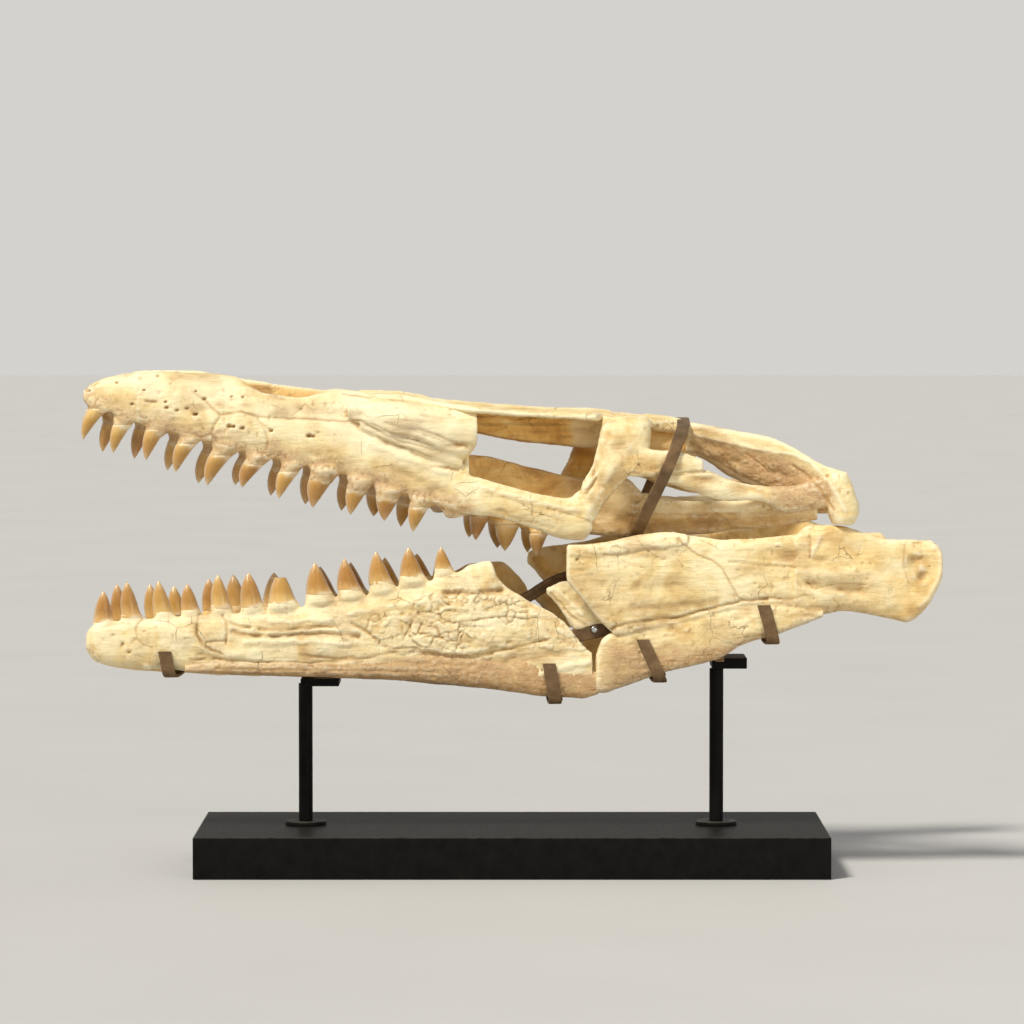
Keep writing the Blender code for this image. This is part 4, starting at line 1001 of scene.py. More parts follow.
def make_grain():
    """Bone grain: broad clouds, fibres along the head, pores, and thin cracks in dry places."""
    group, where, end = make_group("bone_grain", ("Cloud", "Fibre", "Pores", "Cracks", "Grain"))
    drawn = add(group, "Mapping", {"Vector": where, "Scale": (1.0, 6.0, 6.0),
                                   "Rotation": (0.0, 0.12, -HEAD_YAW)}).outputs[0]
    cells = add(group, "TexVoronoi", {"Vector": where, "Scale": 640.0}).outputs["Distance"]
    porous = ranged(group, clouds(group, where, 55.0), 0.5, 0.66)
    bent = add(group, "VectorMath", {0: clouds(group, where, 45.0, 5.0, output="Color"),
                                     1: (0.016, 0.016, 0.016), 2: where},
               operation="MULTIPLY_ADD").outputs[0]
    edge = add(group, "TexVoronoi", {"Vector": bent, "Scale": 30.0},
               feature="DISTANCE_TO_EDGE").outputs["Distance"]
    dry = ranged(group, clouds(group, where, 27.0), 0.53, 0.63)
    for label, value in (
            ("Cloud", clouds(group, where, 24.0, 8.0, 0.62, 0.6)),
            ("Fibre", clouds(group, drawn, 62.0, 6.0, 0.6, 0.4)),
            ("Pores", math_node(group, "MULTIPLY", ranged(group, cells, 0.30, 0.12), porous)),
            ("Cracks", math_node(group, "MULTIPLY", ranged(group, edge, 0.010, 0.001), dry)),
            ("Grain", clouds(group, where, 520.0, 4.0, 0.7))):
        group.links.new(value, end.inputs[label])
    return group


def make_dust():
    """Fine dust: a mask that is larger where the surface faces up."""
    group, where, end = make_group("settled_dust", ("Dust",))
    normal = add(group, "NewGeometry").outputs["Normal"]
    up = ranged(group, add(group, "SeparateXYZ", {0: normal}).outputs[2], 0.4, 1.0)
    specks = ranged(group, clouds(group, where, 900.0), 0.45, 0.75)
    group.links.new(math_node(group, "MULTIPLY", up, specks), end.inputs["Dust"])
    return group


def new_finish(name):
    """A material with its tree, its Principled shader and the place on the surface."""
    material = bpy.data.materials.new(name)
    material.use_nodes = True
    tree = material.node_tree
    return material, tree, tree.nodes["Principled BSDF"], add(tree, "TexCoord").outputs["Object"]


def use(tree, group, where):
    """A group of nodes, put into a material."""
    made = tree.nodes.new("ShaderNodeGroup")
    made.node_tree = group
    tree.links.new(where, made.inputs["Vector"])
    return made.outputs


def dress(tree, shader, colour, rough, height, distance, strength):
    """Gives a shader its colour and roughness, and a bump as high as the distance in metres."""
    bump = add(tree, "Bump", {"Height": height, "Distance": distance, "Strength": strength})
    for label, value in (("Base Color", colour), ("Roughness", rough), ("Normal", bump.outputs[0])):
        tree.links.new(value, shader.inputs[label])


def make_bone_finish(name, pale, middle, tan):
    """Old bone: tan where it is porous, pale where it stands out and brown in its hollows, partly
    as its own stains and marks and partly as painted highlight and painted shade.
    """
    material, tree, shader, where = new_finish(name)
    grain = use(tree, GRAIN, where)
    colour = ramp_of(tree, grain["Cloud"], [(0.34, tan), (0.47, middle), (0.62, pale)])
    porous = ramp_of(tree, grain["Grain"], [(0.38, (0.48, 0.305, 0.15)),
                                            (0.6, (0.68, 0.48, 0.265))])
    yellow = ramp_of(tree, grain["Cloud"], [(0.36, (0.64, 0.32, 0.06)), (0.5, (0.90, 0.56, 0.15)),
                                            (0.64, (0.95, 0.72, 0.31))])
    brown = ramp_of(tree, grain["Cloud"], [(0.4, (0.27, 0.135, 0.042)), (0.62, (0.48, 0.25, 0.06))])
    # The brown mask holds stains and also painted shade: hollows and faces that look down are made
    # browner.
    stain_and_shade = math_node(tree, "MULTIPLY", mask_of(tree, "brown"),
                      ranged(tree, grain["Fibre"], 0.3, 0.6, 0.65, 1.15), clamp=True)
    for share, over in (
            (ranged(tree, grain["Fibre"], 0.5, 0.72, 0.0, 0.45), (*tan, 1.0)),
            (mask_of(tree, "tan"), porous),
            # The yellow over inner faces is partly the bone's own colour and partly painted light
            # that brightens faces standing in shade.
            (mask_of(tree, "ochre_and_painted_light"), yellow),
            # The pale mask holds pale marks and also painted highlights where the bone stands out.
            (mask_of(tree, "pale"), (0.90, 0.81, 0.56, 1.0)),
            (stain_and_shade, brown),
            (math_node(tree, "MULTIPLY", grain["Pores"], 0.55), (0.34, 0.19, 0.08, 1.0)),
            (math_node(tree, "MULTIPLY", grain["Cracks"], 0.6), (0.24, 0.13, 0.05, 1.0))):
        colour = mixed(tree, share, colour, over)
    height = math_node(tree, "MULTIPLY", grain["Grain"], 0.35)
    for label, share in (("Fibre", 0.9), ("Pores", -0.5), ("Cracks", -0.9)):
        height = math_node(tree, "MULTIPLY_ADD", grain[label], share, height)
    dress(tree, shader, colour, ranged(tree, grain["Grain"], 0.3, 0.7, 0.46, 0.74), height,
          distance=0.0011, strength=0.75)
    return material


def make_crown_finish():
    """Enamel: amber, darker in its middle and greyer at the tip, with a painted grey highlight
    along the keels, over a cream root.
    """
    material, tree, shader, where = new_finish("tooth_enamel")
    grain = use(tree, GRAIN, where)
    enamel = mask_of(tree, "enamel")
    drawn = add(tree, "Mapping", {"Vector": where, "Scale": (7.0, 7.0, 1.0)}).outputs[0]
    streak = math_node(tree, "SUBTRACT", clouds(tree, drawn, 55.0, 5.0, 0.6), 0.5)
    place = math_node(tree, "MULTIPLY_ADD", streak, 0.5, mask_of(tree, "height"))
    amber = ramp_of(tree, place, [(0.1, (0.62, 0.37, 0.12)), (0.4, (0.38, 0.175, 0.033)),
                                  (0.7, (0.42, 0.20, 0.047)), (0.97, (0.62, 0.41, 0.21))])
    light = ramp_of(tree, place, [(0.1, (0.74, 0.51, 0.19)), (0.45, (0.53, 0.295, 0.062)),
                                  (0.75, (0.53, 0.31, 0.09)), (0.97, (0.72, 0.54, 0.30))])
    amber = mixed(tree, mask_of(tree, "shade"), amber, light)
    # Painted highlight: the keels at the front and back of each tooth are made paler grey.
    keel = math_node(tree, "MULTIPLY", mask_of(tree, "keel"), 0.5)
    amber = mixed(tree, keel, amber, (0.66, 0.54, 0.40, 1.0))
    root = ramp_of(tree, grain["Cloud"], [(0.36, (0.66, 0.47, 0.26)), (0.6, (0.84, 0.72, 0.50))])
    rough = math_node(tree, "MULTIPLY_ADD", streak, 0.3, ranged(tree, enamel, 0.0, 1.0, 0.6, 0.3))
    height = math_node(tree, "MULTIPLY_ADD", streak, 0.7,
                       math_node(tree, "MULTIPLY", grain["Grain"], 0.15))
    dress(tree, shader, mixed(tree, enamel, root, amber), rough, height,
          distance=0.0005, strength=0.5)
    tree.links.new(math_node(tree, "MULTIPLY", enamel, 0.3), shader.inputs["Coat Weight"])
    shader.inputs["Coat Roughness"].default_value = 0.22
    return material


def make_metal_finish(name, dark, light, metallic, low, high, wear_and_highlight=(0.34, 0.24, 0.13), gloss=0.5):
    """Metal with clouds in its colour, a roughness from low to high, dust on top, and a lighter
    colour on its edges: wear on the bars and clips, a painted highlight on the stand's black satin."""
    material, tree, shader, where = new_finish(name)
    shader.inputs["Metallic"].default_value = metallic
    shader.inputs["Specular IOR Level"].default_value = gloss
    cloud, fine = clouds(tree, where, 70.0, 6.0, 0.65), clouds(tree, where, 800.0)
    # On the bars and clips the lighter edges are wear; on the stand's black satin they are a
    # painted highlight.
    edge_wear_and_highlight = math_node(tree, "MULTIPLY", mask_of(tree, "edge"), ranged(tree, cloud, 0.4, 0.62, 0.25))
    colour = ramp_of(tree, cloud, [(0.32, dark), (0.68, light)])
    colour = mixed(tree, edge_wear_and_highlight, colour, (*wear_and_highlight, 1.0))
    dust = math_node(tree, "MULTIPLY", use(tree, DUST, where)["Dust"], 0.1)
    colour = mixed(tree, dust, colour, (0.35, 0.32, 0.27, 1.0))
    dress(tree, shader, colour, ranged(tree, fine, 0.3, 0.7, low, high), fine,
          distance=0.0002, strength=0.35)
    return material


GRAIN = make_grain()
DUST = make_dust()
BONE = make_bone_finish("fossil_bone", pale=(0.89, 0.785, 0.485), middle=(0.81, 0.635, 0.31),
                        tan=(0.65, 0.435, 0.165))
CROWN = make_crown_finish()
STEEL = make_metal_finish("bronzed_steel", (0.105, 0.06, 0.025), (0.235, 0.142, 0.064),
                          metallic=0.45, low=0.42, high=0.6)
BOLT = make_metal_finish("bolt_steel", (0.32, 0.34, 0.38), (0.6, 0.62, 0.66),
                         metallic=1.0, low=0.18, high=0.35, wear_and_highlight=(0.8, 0.8, 0.8))
# The lighter colour on its edges is a painted highlight.
SATIN = make_metal_finish("black_satin", (0.005, 0.0046, 0.0042), (0.009, 0.0083, 0.0076),
                          metallic=0.0, low=0.4, high=0.55, wear_and_highlight=(0.07, 0.066, 0.06), gloss=0.05)


def piece(name, points, faces, material, nodes=(), masks=None, sharp=None):
    """A finished piece of the model, which rides with the skull and stays within the solids' box.
    Edges that bend by more than sharp, in degrees, are drawn sharp."""
    low, high = np.array(solid_box[0]) / MM, np.array(solid_box[1]) / MM
    thing = new_object(name, np.clip(points, low, high) * MM, faces)
    thing.data.shade_smooth()
    if sharp:
        thing.data.set_sharp_from_angle(angle=math.radians(sharp))
    thing.data.materials.append(material)
    for label, values in (masks or {}).items():
        mask = thing.data.attributes.new(label, "FLOAT", "POINT")
        mask.data.foreach_set("value", np.ascontiguousarray(values, np.float32))
    if nodes:
        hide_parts(*nodes)
    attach(thing, "root")


# ---------------------------------------------------------------- making the skull


def opened(points, outward, holes):
    """The dips and the brown of the openings for nerves and vessels: each is 2.2 radii deep and
    fades as exp(-d^4), where d is the distance from its middle in radii."""
    height, brown = np.zeros(len(points)), np.zeros(len(points))
    for x, z, rim in holes:
        radius = HOLE_SHARE * rim
        d = np.hypot((points[:, 0] - x) / HOLE_STRETCH, points[:, 2] - z) / radius
        height -= 2.2 * radius * np.exp(-d ** 4) * outward
        brown = np.maximum(brown, 1.25 * np.exp(-(d / 1.05) ** 4) * outward)
    return height, brown


def flaked(points, outward, crust, seed):
    """The height and the brown of the crust between two edges, and where it is: flakes of two
    sizes stand 1.5 mm up, each with its own lift, and dark gaps run between them."""
    x, z = points[:, 0], points[:, 2]
    foot, head = (column_of(edge, 1, x) for edge in crust)
    foot = foot + 3.0 * noise(points, 11.0, seed + 31) + 1.2 * noise(points, 4.0, seed + 40)
    share = outward * smooth_step(-0.6, 0.9, z - foot) * smooth_step(-163.0, -150.0, x)
    share *= smooth_step(5.0, -9.0, z - head + 5.0 * noise(points, 14.0, seed + 33))
    bent = points + 6.0 * np.stack([noise(points, 11.0, seed + 41 + i) for i in range(3)], -1)
    edges, lift = plates(bent, (23.0, 10.0, 10.0), seed + 35)
    gap = 1.0 - smooth_step(0.01, 0.11, edges)
    gap *= smooth_step(-0.3, 0.2, noise(points, 20.0, seed + 36))
    edges, low_lift = plates(bent, (8.0, 4.5, 5.0), seed + 37)
    fine = 1.0 - smooth_step(0.02, 0.2, edges)
    fine *= smooth_step(-0.1, 0.4, noise(points, 13.0, seed + 38))
    height = share * (1.5 + 0.6 * lift + 0.3 * low_lift - 1.35 * gap - 0.35 * fine)
    return height, share * np.maximum(0.42 * gap, 0.16 * fine), share


def worked_bone(name, shells, side, seed, nodes, marks=(), tints=None, holes=(), top_marks=(),
                low=False, skin=None, crust=None):
    """Fuses shells into one skin, gives it relief and keeps the masks that its finish reads.

    The relief adds smooth noise of four sizes, fibres along the head, small pits where another
    noise is high, the flakes of a crust, and the marks. Hollows of the finished surface are
    painted browner, as painted shade, and what stands out is painted paler, as a painted
    highlight.
    """
    skin = skin or (RIGHT_SKIN if side > 0.0 else LEFT_SKIN)
    points, normals, quads = fused(shells, skin)
    way = np.sign(points[:, 1]) if side == 0.0 else np.full(len(points), side)
    outward = smooth_step(0.05, 0.45, normals[:, 1] * way)
    height, brown, pale = press_marks(points, seed, marks, points[:, [0, 2]], outward)
    if top_marks:
        upward = smooth_step(0.2, 0.6, normals[:, 2])
        bumps, dark, light = press_marks(points, seed + 5, top_marks, points[:, :2], upward)
        height, brown, pale = height + bumps, np.maximum(brown, dark), np.maximum(pale, light)
    dips, dark = opened(points, outward, holes)
    height, brown = height + dips, np.maximum(brown, dark)
    rough = smooth_step(-0.25, 0.4, noise(points, 30.0, seed + 4))
    if crust:
        flakes, dark, share = flaked(points, outward, crust, seed)
        height, brown, rough = height + flakes, np.maximum(brown, dark), np.maximum(rough, share)
    relief = 0.8 * noise(points, 36.0, seed) + 0.5 * noise(points, 13.0, seed + 1)
    relief += 0.3 * noise(points, (24.0, 5.0, 4.0), seed + 2) + 0.2 * noise(points, 5.5, seed + 3)
    relief += rough * (0.24 * noise(points, 2.9, seed + 6)
                       + 0.3 * noise(points, (13.0, 2.7, 2.7), seed + 7))
    pits = smooth_step(0.5, 0.8, noise(points, 4.0, seed + 8)) * rough
    spots = smooth_step(0.35, 0.8, noise(points, (40.0, 16.0, 14.0), seed + 9))
    # The tints hold the bone's own colours, and also painted shade and painted light where each
    # tints function says so.
    tan, more, ochre_and_painted_light, light = (np.clip(tint, 0.0, 1.0) for tint in tints(points, normals, way))
    spongy = smooth_step(0.15, 0.6, noise(points, 2.6, seed + 11)) * tan * outward
    tan = np.clip(tan * (1.0 + 0.5 * noise(points, 7.0, seed + 10)), 0.0, 1.0)
    relief -= 0.7 * pits + 0.55 * spongy
    for dark in (0.45 * pits, 0.4 * spots, more, 0.5 * spongy):
        brown = np.maximum(brown, dark)
    points = points + normals * (relief + height)[:, None]
    # Painted shade and painted highlight: hollows of the relief are made browner and what stands
    # out is made paler.
    depth = hollows(points, normals, quads) * LEFT_SKIN / skin
    brown = np.maximum(brown, 0.75 * smooth_step(0.22, 1.1, depth))
    pale = np.maximum(np.maximum(pale, light), 0.7 * smooth_step(0.12, 0.7, -depth))
    if low and side > 0.0:
        points = fallen(points)
    masks = {"brown": np.clip(brown, 0.0, 1.0), "tan": tan, "ochre_and_painted_light": ochre_and_painted_light,
             "pale": np.clip(pale, 0.0, 1.0) * (1.0 - 0.5 * ochre_and_painted_light)}
    piece(name, turned(points), quads, BONE, nodes, masks)


def inward(normals, way):
    """1 on the inner face of a bone, 0 on its outer one and 3t^2 - 2t^3 between them."""
    return smooth_step(0.15, -0.45, normals[:, 1] * way)


def within(value, low, start, end, high):
    """1 from start to end, 0 below low and above high, and 3t^2 - 2t^3 between them."""
    return smooth_step(low, start, value) * smooth_step(high, end, value)


def snout_tints(points, normals, way):
    """The porous band along the gum, the yellow inside of the nostrils and the browner palate,
    which is painted shade where the palate faces down, and a painted highlight on the upper side
    of the snout.

    Like all tints they are shares of tan, brown, yellow and pale, from smooth steps and noise.
    The brown holds stains and painted shade, the pale holds pale marks and painted highlights,
    and the yellow of inner faces is partly the bone's own and partly painted light.
    """
    x, z = points[:, 0], points[:, 2]
    above = z - column_of(SNOUT, 2, x) + 4.0 * noise(points, 10.0, 401)
    below = column_of(SNOUT, 1, x) - z
    back = smooth_step(-58.0, -68.0, x)
    band = smooth_step(34.0, 10.0, above) * (0.75 + 0.4 * noise(points, 9.0, 406)) * back
    rear = smooth_step(-95.0, -80.0, x) * smooth_step(24.0, 14.0, above) * back
    edge = smooth_step(11.0, 4.0, above) * back
    # Painted shade: faces that look down are made browner and yellower.
    palate = smooth_step(-0.3, -0.9, normals[:, 2]) * back
    # Inner faces are made yellow: partly their own colour, partly painted light that brightens them
    # in shade.
    inner = inward(normals, way) * smooth_step(-62.0, -50.0, x)
    nostril = within(x, -290.0, -270.0, -190.0, -176.0) * within(below, 1.5, 6.0, 28.0, 34.0)
    nostril = nostril * smooth_step(27.0, 20.0, np.abs(points[:, 1]))
    front = within(x, -268.0, -257.0, -245.0, -236.0)
    # Painted highlight: the upper side of the snout is made paler.
    light = smooth_step(26.0, 46.0, above) * (0.5 + 0.5 * noise(points, 22.0, 411)) * back
    patch = smooth_step(0.0, 0.5, noise(points, 27.0, 410)) * smooth_step(60.0, 80.0, x)
    return (np.maximum(np.maximum(band, rear), 0.5 * patch),
            nostril * (0.2 + 0.65 * front) + 0.3 * palate + 0.35 * edge,
            0.8 * nostril + 0.5 * palate + 0.75 * inner + 0.45 * patch, np.minimum(light, 0.75))


def face_tints(points, normals, way):
    """As on the snout, and the porous knob at the rear end of the tooth row is tan."""
    tan, brown, ochre_and_painted_light, light = snout_tints(points, normals, way)
    knob = np.exp(-((points[:, 0] + 62.0) / 15.0) ** 2 - ((points[:, 2] - 362.0) / 9.0) ** 2)
    rough = smooth_step(-0.2, 0.3, noise(points, 4.5, 412))
    return (np.maximum(tan, 0.9 * knob), np.maximum(brown, 0.5 * knob * rough), ochre_and_painted_light, light)


def roof_tints(points, normals, way):
    """The underside of the roof and its keel are a rough yellow brown below a thin pale rim, as
    painted shade under the roof, with brown streaks and crust of their own.
    """
    x, z = points[:, 0], points[:, 2]
    below = column_of(FRONTAL + PARIETAL[1:], 1, x) - z + 1.2 * noise(points, 5.0, 402)
    # Painted shade: the roof below its rim is made yellow brown.
    dark = smooth_step(7.0, 10.0, below)
    rear = smooth_step(53.0, 59.0, x + 0.15 * (z - 440.0))
    crust = smooth_step(0.1, 0.5, noise(points, 3.2, 403)) * smooth_step(15.0, 9.0, below)
    streak = smooth_step(0.1, 0.6, noise(points, (26.0, 6.0, 4.0), 413))
    return (0.2 * dark, (0.1 + 0.55 * crust + 0.4 * streak) * dark * (1.0 - 0.8 * rear),
            0.95 * dark * (1.0 - 0.35 * rear), 0.45 * dark * rear)


def inner_tints(points, normals, way):
    """The inner faces of the bones are a deeper yellow than the outer ones: partly the bone's own
    colour, and partly painted light that brightens these faces where they stand in shade.
    """
    inner = inward(normals, way)
    return 0.2 * inner, 0.12 * inner, 0.75 * inner, 0.0 * inner


def temple_tints(points, normals, way):
    """The bones of the temple have golden patches, are a deeper yellow inside and tan below the
    crest that sweeps back to the jaw's joint: the tan is painted shade under the crest's overhang."""
    x, z = points[:, 0], points[:, 2]
    tan, brown, ochre_and_painted_light, light = inner_tints(points, normals, way)
    crest, bar = (column_of(rows, 1, x) for rows in (SUPRATEMPORAL, SQUAMOSAL))
    # Painted shade: the face below the crest is made tan and brown.
    ramus = smooth_step(7.0, 20.0, crest - z + 4.0 * noise(points, 14.0, 416))
    ramus *= within(x, 165.0, 190.0, 296.0, 312.0)
    ramus *= 1.0 - smooth_step(252.0, 238.0, x) * smooth_step(4.0, -2.0, z - bar)
    tan, brown = np.maximum(tan, 0.95 * ramus), np.maximum(brown, 0.28 * ramus)
    patch = smooth_step(0.0, 0.5, noise(points, 27.0, 410)) * smooth_step(200.0, 140.0, x)
    return np.maximum(tan, 0.5 * patch), brown, np.maximum(ochre_and_painted_light, 0.45 * patch), light


def low_tints(points, normals, way):
    """The bones along the lower edge of the jaw are tan and brown, the more so where they face
    down, as painted shade under the jaw, and yellow inside.
    """
    inner, under = inward(normals, way), smooth_step(0.1, -0.6, normals[:, 2])
    # Painted shade: the whole bone is made tan and brown, more where it faces down.
    return 0.9 + 0.1 * under, 0.45 + 0.25 * under, 0.7 * inner, 0.0 * inner


def rear_jaw_tints(points, normals, way):
    """Behind, the jaw is yellower towards its end and tan along its lower edge, and tan and brown
    where it faces down, as painted shade.
    """
    x, inner = points[:, 0], inward(normals, way)
    end = smooth_step(270.0, 330.0, x) * smooth_step(0.5, -0.2, noise(points, 26.0, 407))
    # Painted shade: faces that look down are made tan and brown.
    under = smooth_step(-0.1, -0.7, normals[:, 2])
    patch = smooth_step(0.1, 0.6, noise(points, (44.0, 20.0, 20.0), 408))
    foot = smooth_step(236.0, 220.0, points[:, 2] + 4.0 * noise(points, 15.0, 415))
    foot *= within(x, 60.0, 95.0, 215.0, 255.0)
    return (0.55 * under + 0.35 * patch + 0.7 * foot, 0.15 * under + 0.35 * foot,
            np.maximum(0.7 * inner, 0.4 * end), 0.0 * inner)


def dentary_tints(points, normals, way):
    """The dentary is pale at its gum, tan along its foot as painted shade on its lower edge, and
    yellow inside.
    """
    x, z, inner = points[:, 0], points[:, 2], inward(normals, way)
    below = column_of(DENTARY, 1, x) - z + 2.0 * noise(points, 9.0, 404)
    band = smooth_step(16.0, 4.0, below) * smooth_step(-60.0, -90.0, x)
    above = z - column_of(DENTARY, 2, x) + 4.0 * noise(points, 15.0, 409)
    # Painted shade: the lower edge of the dentary is made tan.
    foot = smooth_step(26.0, 12.0, above) * smooth_step(-230.0, -150.0, x)
    cloud = noise(points, 20.0, 414)
    light = 0.5 * np.maximum(smooth_step(0.1, 0.5, cloud), band) * (1.0 - inner)
    rest = 0.3 * smooth_step(0.2, -0.4, cloud) * (1.0 - band)
    return rest + 0.45 * foot, 0.12 * inner, 0.75 * inner, light


def palate_tints(points, normals, way):
    """The pterygoid is yellow in front and brown low on the side of its rear branch, as painted
    shade there.
    """
    x, z = points[:, 0], points[:, 2]
    # Painted shade: the low side of the rear branch is made brown.
    low = smooth_step(75.0, 100.0, x)
    low = low * smooth_step(357.0, 351.0, z + 1.5 * noise(points, 9.0, 405))
    front = smooth_step(70.0, 30.0, x)
    return 0.5 * low + 0.2, 0.3 * low + 0.12 * front, 0.85 * front + 0.45 * low, 0.0 * low


def rows_for(name, rows, side):
    """The rows of a jaw bone, with those of the right half put in on that side."""
    own = RIGHT_ROWS.get(name) if side > 0.0 else None
    if not own:
        return rows
    kept = [row for row in rows if not own[0][0] <= row[0] <= own[-1][0]]
    return sorted(kept + own)


def nodes_of(short, *bones):
    """The nodes of some paired bones on one side."""
    return [f"{bone}_{short}" for bone in bones]


def make_snout():
    """The premaxilla with its nasal bar, and behind it on each side the face: the maxilla, the
    prefrontal, the jugal and the bar behind the eye. The upper teeth grow from these bones."""
    shells = [midline_bone(NASAL_BAR, narrowing=0.2, power=2.6, count=32)]
    for side in (-1.0, 1.0):
        shells.append(half_snout(side, SNOUT[0][0], PREMAXILLA_END + 4.0))
        shells += row_of_roots(teeth_of(UPPER_ROW, side)[:PREMAXILLARY_TEETH], side,
                               swell=0.6)
    worked_bone("premaxilla_bone", shells, 0.0, 6, ["premaxilla"], SNOUT_MARKS, snout_tints,
                SNOUT_HOLES)
    for label, short, side, more in SIDES:
        teeth = teeth_of(UPPER_ROW, side)
        shells = [half_snout(side, PREMAXILLA_END, MAXILLA_END, inset=-0.15, sway=2.2),
                  long_bone(PREFRONTAL, side, power=2.2),
                  long_bone(PREFRONTAL_FOOT, side, power=2.2),
                  long_bone(JUGAL, side), tall_bone(POSTORBITAL_BAR, side),
                  long_bone(TEMPORAL_PROCESS, side)]
        shells += row_of_roots(teeth[PREMAXILLARY_TEETH:], side, swell=0.8)
        worked_bone(f"face_{label}", shells, side, 20 + more,
                    nodes_of(short, "maxilla", "prefrontal", "jugal", "postorbitofrontal"),
                    SNOUT_MARKS + CHEEK_MARKS, face_tints, SNOUT_HOLES,
                    skin=FACE_SKIN if side < 0.0 else RIGHT_SKIN)
        row_of_crowns(f"upper_teeth_{label}", teeth, side)


def make_temples():
    """The skull roof, the braincase, and on each side the bones of the temple and the palate."""
    behind = [(104.0, *PARIETAL[0][1:]), *PARIETAL]
    worked_bone("skull_roof", [roof_plate(FRONTAL), roof_plate(behind)], 0.0, 3,
                ["frontal", "parietal"], (), roof_tints, top_marks=ROOF_MARKS, skin=ROOF_SKIN)
    worked_bone("braincase_bone", [midline_bone(BRAINCASE, narrowing=0.1, power=2.4)], 1.0, 5,
                ["braincase"], (), inner_tints)
    for label, short, side, more in SIDES:
        shells = [long_bone(SQUAMOSAL, side), long_bone(SUPRATEMPORAL, side),
                  tall_bone(QUADRATE, side)]
        worked_bone(f"temple_{label}", shells, side, 100 + more,
                    nodes_of(short, "squamosal", "supratemporal", "quadrate"), CHEEK_MARKS,
                    temple_tints)
        teeth = teeth_of(PALATE_ROW, side)
        shells = [long_bone(PTERYGOID, side), *row_of_roots(teeth, side, swell=1.5)]
        worked_bone(f"pterygoid_{label}", shells, side, 115 + more, [f"pterygoid_{short}"],
                    PTERYGOID_MARKS, palate_tints)
        row_of_crowns(f"palate_teeth_{label}", teeth, side)


def make_jaws():
    """The two halves of the lower jaw."""
    rear = {"surangular": SURANGULAR, "coronoid": CORONOID, "angular": ANGULAR,
            "articular": ARTICULAR}
    for label, short, side, more in SIDES:
        teeth = teeth_of(LOWER_ROW, side)
        bone = long_bone(rows_for("dentary", DENTARY, side), side, gums=places_of(LOWER_ROW, side))
        shells = [bone, *row_of_roots(teeth, side, swell=0.6)]
        worked_bone(f"dentary_{label}", shells, side, 200 + more, [f"dentary_{short}"],
                    DENTARY_MARKS, dentary_tints, low=True,
                    crust=(CRUST_FOOT, CRUST_HEAD))
        row_of_crowns(f"lower_teeth_{label}", teeth, side, low=True, broken=BROKEN_TOOTH)
        worked_bone(f"splenial_{label}", [long_bone(SPLENIAL, side)], side, 212 + more,
                    [f"splenial_{short}"], SPLENIAL_MARKS, low_tints, low=True)
        shells = [long_bone(rows_for(bone, rows, side), side) for bone, rows in rear.items()]
        worked_bone(f"rear_jaw_{label}", shells, side, 224 + more,
                    nodes_of(short, *rear), REAR_JAW_MARKS, rear_jaw_tints, low=True)
        worked_bone(f"prearticular_{label}_bone", [long_bone(PREARTICULAR, side)], side,
                    236 + more, [f"prearticular_{short}"], PREARTICULAR_MARKS, inner_tints,
                    low=True)


# ---------------------------------------------------------------- straps and stand


def eased(path, rounds):
    """A path with its bends rounded: each round puts new points at 1/4 and 3/4 of every piece."""
    path = np.asarray(path, float)
    for _ in range(rounds):
        first, last = path[:1], path[-1:]
        quarter = 0.75 * path[:-1] + 0.25 * path[1:]
        three = 0.25 * path[:-1] + 0.75 * path[1:]
        path = np.vstack([first, np.stack([quarter, three], 1).reshape(-1, 3), last])
    return path


def flat_bar(path, broad, width, thickness, rounds):
    """A flat bar with rounded edges along a path, broad in a given direction, and its edge mask.

    Its section is an oval of the power 7, width by thickness, at every point of the eased path,
    square to the path. Its ends are drawn in a little, so that they're eased as its edges are.
    """
    path = eased(path, rounds)
    first, last = path[0], path[-1]
    ahead = (path[1] - first) / np.linalg.norm(path[1] - first)
    behind = (last - path[-2]) / np.linalg.norm(last - path[-2])
    path = np.vstack([first, first + BAR_EASE * ahead, path[1:-1], last - BAR_EASE * behind, last])
    broad = np.asarray(broad, float) / np.linalg.norm(broad)
    thin = np.cross(np.gradient(path, axis=0), broad)
    thin /= np.linalg.norm(thin, axis=1)[:, None]
    across, up = oval(32, 7.0)
    drawn = np.zeros((len(path), 1, 1))
    drawn[[0, -1]] = BAR_EASE
    grid = (path[:, None] + across[None, :, None] * broad * (width / 2.0 - drawn)
            + up[None, :, None] * thin[:, None] * (thickness / 2.0 - drawn))
    edge = smooth_step(0.93, 0.995, np.abs(across)) * smooth_step(0.2, 0.9, np.abs(up))
    edge = np.tile(edge, (len(path), 1))
    edge[[0, -1]] = 1.0
    return *closed(grid), np.append(edge.ravel(), [0.0, 0.0])


def bar_piece(name, node, path, broad, width, thickness, rounds=2, turn=turned):
    """A flat bar of bronzed steel; the turn takes it from the skull's frame to the stand's."""
    points, faces, edge = flat_bar(path, broad, width, thickness, rounds)
    piece(name, turn(points), faces, STEEL, [node], {"edge": edge},
          sharp=50.0)


def upright(corners):
    """The path, direction, width, thickness and rounds of an upright bar between two corners."""
    low, high = np.array(corners)
    x, y, z = (low + high) / 2.0
    return ([(x, y, low[2]), (x, y, z), (x, y, high[2])], (1, 0, 0), high[0] - low[0],
            high[1] - low[1], 1)


